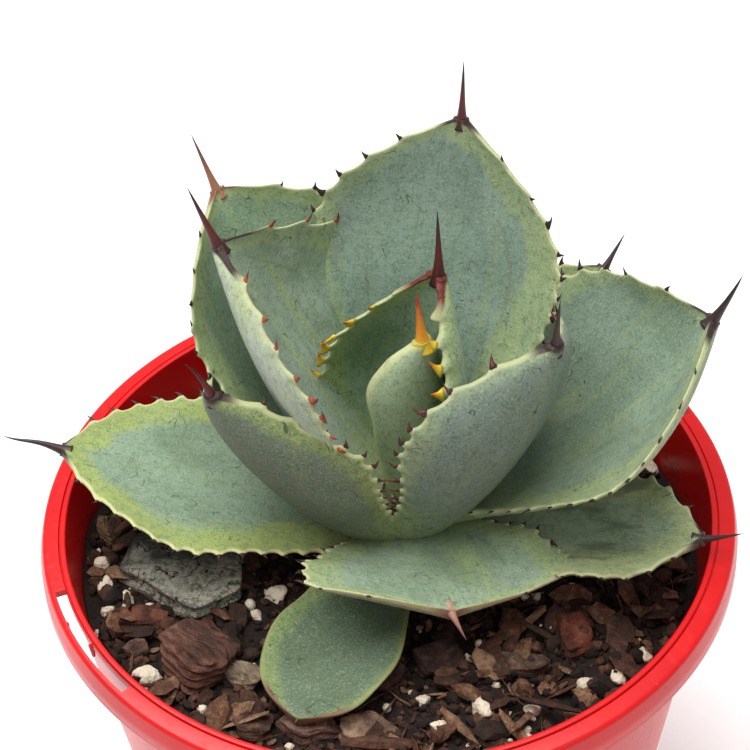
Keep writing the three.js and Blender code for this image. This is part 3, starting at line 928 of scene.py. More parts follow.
@dataclass(frozen=True)
class Strewn:
    """Small lumps of one kind that lie strewn over the mix.

    size: their smallest and largest length; most are small. form: their length, breadth and height
    at size 1. tone: the darkest and lightest. lift: how much of its height a lump's middle is above
    the surface. few_large: a higher power leaves fewer large ones. clusters: how many places most of
    them gather round, or 0. sharp: edges bent by more degrees than this are shaded sharp.
    """

    name: str
    count: int
    size: tuple[float, float]
    form: tuple[float, float, float]
    tone: tuple[float, float]
    lift: float
    few_large: float = 2.5
    clusters: int = 0
    slot: str = "pine_bark"
    sharp: float = 40
    uneven: float = 0.28
    gathered: float = 0.7
    cluster_spread: float = 3.2
    rings: int = 4
    around: int = 7

    def leans(self, rng: np.random.Generator) -> Array:
        """A rotation matrix for each lump; flakes and splinters lie nearly flat."""
        lean = random_turns(rng, self.count)
        spin = rng.uniform(0, TURN, self.count)
        lies_flat = self.form[2] < 0.6
        if not lies_flat:
            return lean
        tip = rng.normal(0, 0.3, (self.count, 2))
        return np.stack([np.stack([np.cos(spin), -np.sin(spin), tip[:, 0]], axis=-1),
                         np.stack([np.sin(spin), np.cos(spin), tip[:, 1]], axis=-1),
                         np.stack([-tip[:, 0], -tip[:, 1], np.ones(self.count)], axis=-1)], axis=1)

    def spots(self, rng: np.random.Generator, radius: float) -> tuple[Array, Array]:
        """Places over a disc, evenly by area, or most of them gathered in clusters."""
        distance = radius * np.sqrt(rng.random(self.count))
        bearing = rng.uniform(0, TURN, self.count)
        x, y = distance * np.cos(bearing), distance * np.sin(bearing)
        if self.clusters:
            home = rng.integers(0, self.clusters, self.count)
            gathered = rng.random(self.count) < self.gathered
            x = np.where(gathered, x[home] + rng.normal(0, self.cluster_spread, self.count), x)
            y = np.where(gathered, y[home] + rng.normal(0, self.cluster_spread, self.count), y)
        return x, y


STREWN = (
    Strewn("mix_crumbs", 3400, (1.0, 4.2), (1, 0.85, 0.7), (0.1, 0.75), 0.3, slot="potting_mix", sharp=50),
    Strewn("bark_flakes", 620, (2.4, 9.5), (1, 0.6, 0.22), (0.35, 1.0), 0.9, 1.8),
    Strewn("splinters", 110, (5, 15), (1, 0.17, 0.12), (0.5, 1.0), 2.0),
    Strewn("perlite_crumbs", 420, (0.7, 2.6), (1, 0.9, 0.85), (0, 1), 0.45, 2.0, 26, "perlite", 180),
)


@dataclass
class MixBed:
    """The potting mix, with small bark, perlite and fibres strewn over it.

    wall_room: how much of its length a strewn lump's middle keeps from the wall. leaf_room and
    under_leaf: how far round the old leaf's box lumps are kept small, and how small.
    """

    pot: Pot
    slope: float = 0.02
    lump: float = 1.1
    depth_in_stem: float = 30.0
    rings: int = 170
    around: int = 520
    spread: float = 0.985
    wall_room: float = 0.7
    leaf_room: float = 2.0
    under_leaf: float = 2.0
    fibres: int = 120
    fibre_steps: int = 9
    fibre_length: tuple[float, float] = (5, 24)
    fibre_radius: tuple[float, float] = (0.12, 0.34)
    fibre_tone: tuple[float, float] = (0.45, 0.95)
    fibre_bow: float = 0.16
    fibre_arch: float = 1.2

    def __post_init__(self) -> None:
        """Reads the mix's level from the frame: the stem stands a known depth in it."""
        self.level = box_mm("stem")[0][2] + self.depth_in_stem
        self.radius = float(self.pot.inner(self.level)) - 0.1

    def top(self, x: Array, y: Array) -> Array:
        """The height of the mix: the CAD model's swells and lumps, with crumbs of noise on them."""
        swell = np.sin(x / 9 + 1) * np.cos(y / 8)
        lumps = np.sin(x / 3.7) * np.sin(y / 4.3 + 0.6)
        flat = np.stack([x, y, np.zeros_like(x)], axis=-1)
        crumbs = 0.9 * lattice_noise(flat, 3.1, 3) + 0.7 * np.abs(lattice_noise(flat, 1.5, 5))
        return self.level - self.slope * x + self.lump * (swell + 0.6 * lumps) + crumbs

    def make_bed(self, mix: bpy.types.Material) -> None:
        """Makes the bed: a disc of rings at the mix's height, closed down the wall and below.

        Args:
            mix: its material.
        """
        foot = self.pot.floor + 0.5
        foot_radius = (float(self.pot.inner(foot)) - 0.4) / self.radius
        shares = np.concatenate([[foot_radius * 0.5, foot_radius], np.linspace(1, 0.002, self.rings)])
        radii = self.radius * shares[:, None]
        cos, sin = circle(self.around)
        x, y = radii * cos, radii * sin
        z = self.top(x, y)
        z[:2] = foot
        shell = Shell()
        shell.tube(np.stack([x, y, z], axis=-1), tone=np.full(x.shape, 0.22))
        settle(shell.piece("mix_bed", [mix]), "potting_mix", "soil")

    def strew(self, rng: np.random.Generator, kind: Strewn) -> Shell:
        """Strews lumps of one kind over the bed.

        A lump is a ball of a few rings, uneven by chance, drawn out by its form, turned at random
        and set on the mix's surface, clear of the pot's wall.

        Args:
            rng: where the chance comes from.
            kind: what the lumps are like.

        Returns:
            All of them in one shell.
        """
        count, rings, around = kind.count, kind.rings, kind.around
        ball = globe(np.linspace(0.35, math.pi - 0.35, rings), around)[::-1].reshape(-1, 3)
        uneven = 1 + rng.uniform(-kind.uneven, kind.uneven, (count, len(ball), 1))
        sizes = between(kind.size, rng.random(count) ** kind.few_large)
        lean = kind.leans(rng)
        x, y = kind.spots(rng, self.radius * self.spread)
        trim = np.minimum(1, (self.radius - self.wall_room * sizes) / np.hypot(x, y))
        x, y = x * trim, y * trim
        low, high = box_mm("leaf_old")
        low, high = low - self.leaf_room, high + self.leaf_room
        covered = (x > low[0]) & (x < high[0]) & (y > low[1]) & (y < high[1])
        sizes = np.where(covered, np.minimum(sizes, self.under_leaf), sizes)
        spot = np.stack([x, y, self.top(x, y) + kind.lift * sizes * kind.form[2]], axis=-1)
        local = ball * uneven * (np.array(kind.form) / 2) * sizes[:, None, None]
        places = np.einsum("nij,nkj->nki", lean, local) + spot[:, None, :]
        poles = places.reshape(count, rings, around, 3)[:, [0, -1]].mean(axis=2)
        places = np.concatenate([places, poles], axis=1)
        offset = (np.arange(count) * places.shape[1])[:, None, None]
        ring = np.arange(around)
        quads = (tube_quads(rings, around) + offset).reshape(-1, 4)
        ends = [fan(len(ball), ring, True), fan(len(ball) + 1, ring + len(ball) - around, False)]
        tones = np.repeat(between(kind.tone, rng.random(count)), places.shape[1])
        shell = Shell()
        shell.add(places, [quads, (np.concatenate(ends) + offset).reshape(-1, 3)], tone=tones)
        return shell

    def make_fibres(self, rng: np.random.Generator, mix: bpy.types.Material) -> None:
        """Makes thin fibres: four-sided threads on a bowed path that dips at both ends.

        Args:
            rng: where the chance comes from.
            mix: their material.
        """
        count = self.fibres
        share = np.linspace(0, 1, self.fibre_steps)
        distance = self.radius * 0.93 * np.sqrt(rng.random(count))
        bearing = rng.uniform(0, TURN, count)
        heading = rng.uniform(0, TURN, count)[:, None]
        length = between(self.fibre_length, rng.random(count) ** 2)[:, None]
        bow = rng.normal(0, self.fibre_bow, count)[:, None] * length
        run, side = (share - 0.5) * length, bow * 4 * share * (1 - share)
        x = (distance * np.cos(bearing))[:, None] + run * np.cos(heading) - side * np.sin(heading)
        y = (distance * np.sin(bearing))[:, None] + run * np.sin(heading) + side * np.cos(heading)
        trim = np.minimum(1, self.radius * 0.97 / np.hypot(x, y))
        x, y = x * trim, y * trim
        flat = np.stack([x, y, np.zeros_like(x)], axis=-1)
        arch = self.fibre_arch * np.sin(math.pi * share) + 0.5 * lattice_noise(flat, 4, 9)
        path = np.stack([x, y, self.top(x, y) + 0.5 + arch], axis=-1)
        ahead = unit(np.gradient(path, axis=1))
        over = unit(np.cross(ahead, [0, 0, 1]))
        rise = np.cross(over, ahead)
        cos, sin = circle(4)
        thick = between(self.fibre_radius, rng.random(count))[:, None] * (1.1 - share)
        section = over[:, :, None] * cos[:, None] + rise[:, :, None] * sin[:, None]
        rings = path[:, :, None] + thick[..., None, None] * section
        tones = between(self.fibre_tone, rng.random(count))
        shell = Shell()
        for ring, tone in zip(rings[:, :, ::-1], tones):
            shell.tube(ring, tone=np.full(ring.shape[:2], tone))
        settle(shell.piece("fibres", [mix]), "potting_mix")

    def make(self) -> None:
        """Makes the bed and everything strewn on it, in order, from one seed."""
        rng = np.random.default_rng(11)
        mix = PottingMix().material("potting_mix")
        finishes = {"potting_mix": mix, "pine_bark": mix, "perlite": Perlite().material("perlite_fine")}
        self.make_bed(mix)
        for kind in STREWN:
            shell = self.strew(rng, kind)
            settle(shell.piece(kind.name, [finishes[kind.slot]], kind.sharp), kind.slot)
        self.make_fibres(rng, mix)


# ---- Bark chips and perlite grains ----

def broken_ball(rows: int, columns: int, planes: Array, sharpness: float) -> Array:
    """A ball cut by planes, as a grid of rings.

    In a direction d the surface is at the distance where the sum over the planes of
    (d . n / h) ^ sharpness is 1, with n a plane's normal and h its distance.

    Args:
        rows: rings from pole to pole.
        columns: points in a ring.
        planes: the normals, each divided by its plane's distance.
        sharpness: how crisp the edges between planes are.

    Returns:
        Points by ring, by place in the ring and by axis.
    """
    ways = globe(np.linspace(math.pi - 0.02, 0.02, rows), columns)
    reach = np.maximum(ways @ planes.T, 0) ** sharpness
    return ways / reach.sum(axis=-1, keepdims=True) ** (1 / sharpness)


def fitted(points: Array, low: Array, high: Array) -> Array:
    """Points moved and scaled along each axis so that they just fill a box."""
    axes = tuple(range(points.ndim - 1))
    first, last = points.min(axis=axes), points.max(axis=axes)
    return low + (points - first) / (last - first) * (high - low)


@dataclass
class Chip:
    """One bark chip, broken to flat faces and split in layers, in the stead of its node.

    turn and tilt: how its layers lie, in degrees. layer: their thickness. uneven: how far its top
    and underside slope. sides: how many upright faces it has, placed by chance, unless walls gives
    each one's direction in degrees and its distance from the middle.
    """

    node: str
    finish: Bark
    turn: float = 0.0
    tilt: float = 0.0
    uneven: float = 0.25
    layer: float = 1.4
    rough: float = 0.07
    slot: str = "pine_bark"
    sides: int = 5
    walls: tuple[tuple[float, float], ...] = ()
    rows: int = 90
    columns: int = 150
    corners: int = 6
    sharpness: float = 20
    step: float = 0.035

    def planes(self, rng: np.random.Generator) -> Array:
        """The planes that cut the chip: upright ones round it, one above, one below and its corners.

        Args:
            rng: where the chance comes from.

        Returns:
            The normals, each divided by its plane's distance.
        """
        turns = (np.arange(self.sides) + rng.uniform(-0.3, 0.3, self.sides)) * TURN / self.sides
        walls = np.stack([np.cos(turns), np.sin(turns), rng.uniform(-0.3, 0.4, self.sides)], axis=-1)
        walls = walls / rng.uniform(0.74, 0.96, (self.sides, 1))
        if self.walls:
            turns, away = np.array(self.walls).T
            turns = np.radians(turns)
            walls = np.stack([np.cos(turns), np.sin(turns), 0 * turns], axis=-1) / away[:, None]
        ends = np.array([[0, 0, 1.6], [0, 0, -1.6]])
        ends[:, :2] = rng.normal(0, self.uneven, (2, 2))
        corners = unit(rng.normal(size=(self.corners, 3))) / rng.uniform(0.8, 1.0, (self.corners, 1))
        return np.concatenate([walls, ends, corners])

    def make(self, seed: int) -> None:
        """Makes the chip.

        Its planes cut it, its surface is stepped by a wave along its layers, noise roughens it,
        and it is fitted to its node's box.

        Args:
            seed: picks the planes and the noise.
        """
        planes = self.planes(np.random.default_rng(100 + seed))
        points = broken_ball(self.rows, self.columns, planes, self.sharpness)
        low, high = box_mm(self.node)
        size = high - low
        world = points * size / 2
        split = np.sin(TURN * (world[..., 2] + 0.8 * lattice_noise(world, 5, seed)) / self.layer)
        points = points + np.array([1, 1, 0.25]) * points * (self.step * split[..., None])
        rough = layered_noise(world, size.max() / 4, seed, 4) * self.rough
        points = points * (1 + rough[..., None])
        lean, spin = math.radians(self.tilt), math.radians(self.turn)
        pose = np.array(Matrix.Rotation(spin, 3, "Z") @ Matrix.Rotation(lean, 3, "Y"))
        shell = Shell()
        shell.tube(fitted(points @ pose.T, low, high))
        made = shell.piece(self.node + "_broken", [self.finish.material(self.node + "_bark")], 60)
        settle(made, self.slot, self.node)


def make_chips() -> None:
    """Makes the seventeen chips that are big enough to be told apart."""
    chips = [
        Chip("bark_slab", Bark("6f7064", "34362c", "99978a", 0.9), 0, 5, 0.08, 2.6, 0.025, "mossy_bark",
             walls=((232, 0.6), (300, 0.95), (5, 0.85), (72, 0.8), (172, 0.9)), rows=150, columns=240),
        Chip("bark_lump", Bark("6c483a", "2a1a15", "80604f"), 10, 5, 0.5, 1.8, 0.1, sides=9),
        Chip("bark_upright", Bark("382820", "120c0a", "5c473a"), 20, 8, 0.8, 3.0, 0.08),
        Chip("bark_cut_end", Bark("8a6f54", "3a261b", "a48b6e"), 0, 0, 0.8, 1.1, 0.05),
        Chip("bark_chip_rust", Bark("6f4130", "2a1611", "8a6a58"), -25, 10),
        Chip("bark_chip_small", Bark("5c4236", "20140f", "7a6152"), 15, 0),
        Chip("bark_chip_tan", Bark("8f7c66", "43352a", "b3a38c"), 20, 12),
        Chip("bark_chip_left", Bark("5f4436", "23160f", "86705f"), -20, 6),
        Chip("bark_chip_front", Bark("7d5f50", "2f1f18", "9c8676"), 10, 8),
        Chip("bark_chip_pale", Bark("8b6f5b", "37271d", "ab9780"), 30, 10),
        Chip("bark_chip_middle", Bark("4f352c", "1a100d", "6d5548"), 40, 5),
        Chip("bark_chip_dark", Bark("3f2c25", "150e0c", "5f4c42"), -30, 10),
        Chip("bark_chip_red", Bark("6a3626", "26120d", "86604e"), 12, 5),
        Chip("bark_chip_slim", Bark("573b2e", "1c110d", "785e4e"), 25, 0),
        Chip("bark_smooth", Bark("43302a", "17100e", "5e4a40"), 5, 0, 1.2, 2.0, 0.03),
        Chip("bark_right", Bark("392a24", "130d0b", "574438"), 30, 5),
        Chip("bark_splinter", Bark("5f4636", "22160f", "8c8478"), -15, 5),
    ]
    for seed, chip in enumerate(chips):
        chip.make(seed)


def make_perlite() -> None:
    """Makes each perlite grain: a softly broken ball, pitted by noise, fitted to its node's box."""
    chalk = Perlite().material("perlite")
    names = sorted(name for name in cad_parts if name.startswith("perlite_"))
    for seed, name in enumerate(names):
        rng = np.random.default_rng(500 + seed)
        planes = unit(rng.normal(size=(14, 3))) / rng.uniform(0.75, 1.0, (14, 1))
        points = broken_ball(36, 60, planes, 7)
        low, high = box_mm(name)
        world = points * (high - low) / 2
        pits = np.abs(lattice_noise(world, 1.0, seed)) + 0.5 * np.abs(lattice_noise(world, 0.5, seed + 9))
        points = points * (1 - 0.07 * pits[..., None])
        shell = Shell()
        shell.tube(fitted(points, low, high))
        settle(shell.piece(name + "_grain", [chalk]), "perlite", name)


# ---- The leaves ----

@dataclass
class Armour:
    """A leaf's horn: its end spine and the teeth along its margins.

    pairs: how many teeth stand on each margin, from the share first of the length to last. tooth:
    a tooth's usual length, of which the other sizes of a tooth are shares. hook: how far it bends
    along the margin, back to the base below the share turnover. tooth_half: half its breadth along
    the margin and through it. tooth_root: how far it starts inside the leaf. bend: how far the
    spine bends up and to the left for each millimetre of it. wave: how far it waves. spine_root:
    how far it starts inside the leaf.
    """

    spine: HornTone = HornTone.DARK
    teeth: HornTone = HornTone.DARK
    pairs: int = 9
    tooth: float = 1.9
    hook: float = 0.5
    first: float = 0.16
    last: float = 0.93
    turnover: float = 0.3
    bend: tuple[float, float] = (0.0, 0.0)
    wave: float = 0.0
    spine_radius: float = 1.15
    spine_root: float = 2.2
    tooth_half: tuple[float, float] = (0.36, 0.2)
    tooth_root: float = 0.2


@dataclass
class Leaf:
    """One leaf with its horn.

    facing: direction from +X towards +Y, in degrees. reach and lift: where the base starts, out from
    the plant's axis and up from the mix. rise: slope at the base and the tip. cup: half the angle
    that the section bends through. roll: the turn about the midrib, positive where the margin on
    the left, looking outwards, is raised. widest: where the width peaks, as a share of the length.
    ripple: how far the margins wave up and down. base_share: the base's width as a share of the
    widest. swell and taper: powers of the outline's rise and fall. tip_half: the least half-width.
    margin: the thickness at the margin. tuck: the share of its right half's width that it lacks,
    where the next leaf has pressed on it.
    """

    name: str
    facing: float
    reach: float
    lift: float
    length: float
    width: float
    rise: tuple[float, float]
    cup: tuple[float, float]
    roll: tuple[float, float]
    widest: float
    spine: float
    armour: Armour
    skin: LeafSkin
    taper: float = 0.85
    ripple: float = 0.5
    base_thickness: float = 6.0
    tip_thickness: float = 2.4
    margin: float = 1.0
    base_share: float = 0.42
    swell: float = 1.6
    tip_half: float = 1.2
    scallop: float = 1.2
    tuck: float = 0.0
    rows: int = 200
    columns: int = 72
    tooth_rows: int = 6
    tooth_columns: int = 6
    spine_rows: int = 36
    spine_columns: int = 24

    def root(self, level: float) -> Array:
        """The middle of the leaf's base, from the stem's axis in the frame."""
        low, high = box_mm("stem")
        middle = (low + high) / 2
        angle = math.radians(self.facing)
        return np.array([middle[0] + self.reach * math.cos(angle),
                         middle[1] + self.reach * math.sin(angle), level + self.lift])

    def outline(self, t: Array) -> Array:
        """Half the width, without scallops: a sine rise to the widest place, then a cosine fall.

        Args:
            t: shares of the length.

        Returns:
            Half the width at each, in millimetres.
        """
        half = self.width / 2
        rise = np.sin(math.pi / 2 * np.clip(t / self.widest, 0, 1)) ** self.swell
        fall = np.cos(math.pi / 2 * np.clip((t - self.widest) / (1 - self.widest), 0, 1)) ** self.taper
        width = half * np.where(t < self.widest, self.base_share + (1 - self.base_share) * rise, fall)
        return np.maximum(width, self.tip_half)

    def scalloped(self, t: Array) -> Array:
        """Half the width with a rounded peak, the fourth power of a cosine, at each tooth's place."""
        armour = self.armour
        turns = (t - armour.first) / (armour.last - armour.first) * (armour.pairs - 1)
        peak = np.cos(math.pi * turns) ** 4
        window = ease(t, armour.first * 0.4, armour.first) * ease(t, 1.0, 0.93)
        return self.outline(t) + self.scallop * peak * window

    def to_margin(self, t: Array, side: Array) -> Array:
        """The place across, moved out to the scallops by the eighth power of the way to the margin.

        Where the leaf is tucked, its right half is narrower, and back at full width near the tip.

        Args:
            t: shares of the length.
            side: 1 to -1 across.

        Returns:
            The place across, a little past 1 or -1 in a scallop.
        """
        kept = 1 - self.tuck * (side < 0) * ease(t, 0.85, 0.5) * ease(t, 0.0, 0.15)
        return kept * side * (1 + (self.scalloped(t) / self.outline(t) - 1) * np.abs(side) ** 8)

    def axes(self, t: Array) -> tuple[Array, Array, Array]:
        """The directions along the midrib, square to the upper face, and across, at shares t."""
        slope = np.radians(between(self.rise, t))[..., None]
        angle = math.radians(self.facing)
        out = np.array([math.cos(angle), math.sin(angle), 0.0])
        up = np.array([0.0, 0.0, 1.0])
        along = out * np.cos(slope) + up * np.sin(slope)
        normal = up * np.cos(slope) - out * np.sin(slope)
        across = np.cross(normal, along)
        roll = np.radians(between(self.roll, t))[..., None]
        turned = [v * np.cos(roll) + np.cross(along, v) * np.sin(roll) for v in (normal, across)]
        return along, turned[0], turned[1]

    def midrib(self, t: Array, level: float) -> Array:
        """The place on the midrib at shares t: steps along the slope, added up from the root."""
        count = 400
        fine = np.linspace(0, 1, count + 1)
        steps = self.axes(fine[:-1] + 0.5 / count)[0] * (self.length / count)
        track = self.root(level) + np.concatenate([np.zeros((1, 3)), np.cumsum(steps, axis=0)])
        return np.stack([np.interp(t, fine, track[:, k]) for k in range(3)], axis=-1)

    def at(self, t: Array, side: Array, depth: Array, level: float) -> Array:
        """A place in the leaf.

        The section is an arc about a centre above the midrib, through the cup's angle at the
        margin. The margins wave by a sine along the leaf, as the cube of the way out to them.

        Args:
            t: share of the length.
            side: 1 to -1 across, and a little more in a scallop.
            depth: down from the upper face.
            level: the mix's height.

        Returns:
            The place.
        """
        _, normal, across = self.axes(t)
        cup = np.radians(between(self.cup, t))
        radius = self.outline(t) / cup
        angle = (side * cup)[..., None]
        distance = (radius + depth)[..., None]
        wave = np.sin(TURN * (t * 2.6 + 0.25 * side) + self.facing) * np.abs(side) ** 3
        lift = (self.ripple * wave * ease(t, 0.2, 0.5) * ease(t, 1.0, 0.8))[..., None]
        place = self.midrib(t, level) + across * distance * np.sin(angle)
        return place + normal * (radius[..., None] - distance * np.cos(angle) + lift)

    def blade(self, level: float) -> Shell:
        """The blade as rings round its section, from the base to the tip.

        With s the place across and e = sqrt(1 - s^24), the upper face is margin/2 (1 - e) down
        and the lower face is margin/2 + (T - margin/2) e down, so both meet in a round margin.
        T falls from the middle to the margin as 1 - s^2.

        Args:
            level: the mix's height.

        Returns:
            The shell, with the values that the skin reads.
        """
        t = np.linspace(0, 1, self.rows)[:, None] * np.ones(self.columns)
        side, height = (v * np.ones((self.rows, 1)) for v in circle(self.columns))
        lower = height < 0
        outline = self.outline(t)
        thickness = between((self.base_thickness, self.tip_thickness), t)
        full = self.margin + (thickness - self.margin) * (1 - side ** 2)
        round_off = np.sqrt(np.maximum(1 - np.abs(side) ** 24, 0))
        half_margin = self.margin / 2
        upper_depth = half_margin * (1 - round_off)
        lower_depth = half_margin + (full - half_margin) * round_off
        places = self.at(t, self.to_margin(t, side), np.where(lower, lower_depth, upper_depth), level)
        flow = np.stack([t * self.length, side * outline, lower * 25.0 + self.facing], axis=-1) * MM
        under = ease(np.where(lower, lower_depth, 0.0) / full, 0.25, 0.85)
        edge = np.minimum((1 - np.abs(side)) * outline, 40.0)
        tip = np.hypot((1 - t) * self.length, side * outline)
        shell = Shell()
        shell.tube(places, flow=flow, edge=edge, along=t, across=side, under=under, tip=tip)
        return shell

    def add_teeth(self, shell: Shell, level: float) -> None:
        """Adds the teeth: hooked cones, long along the margin at the root.

        At a share q of its length a tooth is (1 - q)^0.85 of its root's size, wider at the root, and
        its path bends along the margin by hook q^1.8, back to the base below the turnover.

        Args:
            shell: what they are added to.
            level: the mix's height.
        """
        rng = np.random.default_rng(int(self.facing) + 400)
        armour = self.armour
        count = armour.pairs
        q = np.linspace(-armour.tooth_root, 1, self.tooth_rows)[:, None]
        cos, sin = circle(self.tooth_columns)
        breadth, depth = armour.tooth_half[0] * cos[:, None], armour.tooth_half[1] * sin[:, None]
        narrow = 0.75 * np.maximum(1 - q, 0.02) ** 0.85
        flare = narrow + 0.8 * np.maximum(0.25 - q, 0)
        jitter, step = 0.004, 0.004
        for sign in (1.0, -1.0):
            shares = np.linspace(armour.first, armour.last, count) + rng.normal(0, jitter, count)
            sizes = armour.tooth * rng.uniform(0.7, 1.2, count)
            sizes = sizes * between((0.6, 1.0), ease(shares, 0.1, 0.4))
            side, half_way = np.full(count, sign), np.full(count, self.margin / 2)
            foot, before, beyond = (self.at(t, self.to_margin(t, side), half_way, level)
                                    for t in (shares, shares - step, shares + step))
            along = unit(beyond - before)
            out = foot - self.at(shares, side * 0.96, half_way, level)
            out = unit(out - along * np.sum(out * along, axis=-1, keepdims=True))
            through = np.cross(out, along)
            back = np.where(shares < armour.turnover, -1, 1)
            lean = armour.hook * rng.uniform(0.3, 1.4, count) * back
            for k in range(count):
                path = out[k] * q + along[k] * (lean[k] * np.maximum(q, 0) ** 1.8)
                ring = along[k] * (flare[:, :, None] * breadth) + through[k] * (narrow[:, :, None] * depth)
                places = foot[k] + sizes[k] * (path[:, None, :] + ring)
                shell.tube(places, 1, horn=np.clip(q, 0, 1) * np.ones(self.tooth_columns))

    def add_spine(self, shell: Shell, level: float) -> None:
        """Adds the end spine: a round, hollow-sided cone on a path that bends by q^2 and may wave.

        Args:
            shell: what it is added to.
            level: the mix's height.
        """
        armour, half_tip = self.armour, self.tip_thickness / 2
        end = np.array([1.0])
        along, normal, across = (v[0] for v in self.axes(end))
        tip = self.midrib(end, level)[0] - normal * half_tip
        q = np.linspace(0, 1, self.spine_rows)[:, None]
        bend = normal * armour.bend[0] + across * armour.bend[1]
        path = tip + along * (q * (self.spine + armour.spine_root) - armour.spine_root)
        path = path + normal * (half_tip * q + armour.wave * np.sin(5.5 * q) * q)
        path = path + bend * self.spine * q ** 2
        waist, root = armour.spine_radius * 0.65, armour.spine_radius * 1.35
        radius = (root - waist) * (1 - q) ** 5 + waist * (1 - q) ** 0.75
        radius = np.maximum(radius, 0.03)
        cos, sin = circle(self.spine_columns)
        ring = across * cos[:, None] + normal * sin[:, None]
        places = path[:, None, :] + radius[:, :, None] * ring
        shell.tube(places, 0, horn=q * np.ones(self.spine_columns))

    def make(self, level: float, horns: dict[HornTone, bpy.types.Material]) -> None:
        """Makes the blade and its horn, in the stead of the leaf's node.

        Args:
            level: the mix's height.
            horns: a material for each tone.
        """
        skin = self.skin.material(self.name + "_skin")
        settle(self.blade(level).piece(self.name + "_blade", [skin]), "leaf_skin", self.name)
        horn = Shell()
        self.add_spine(horn, level)
        if self.armour.pairs:
            self.add_teeth(horn, level)
        finishes = [horns[self.armour.spine], horns[self.armour.teeth]]
        settle(horn.piece(self.name + "_armour", finishes), "leaf_skin", self.name)


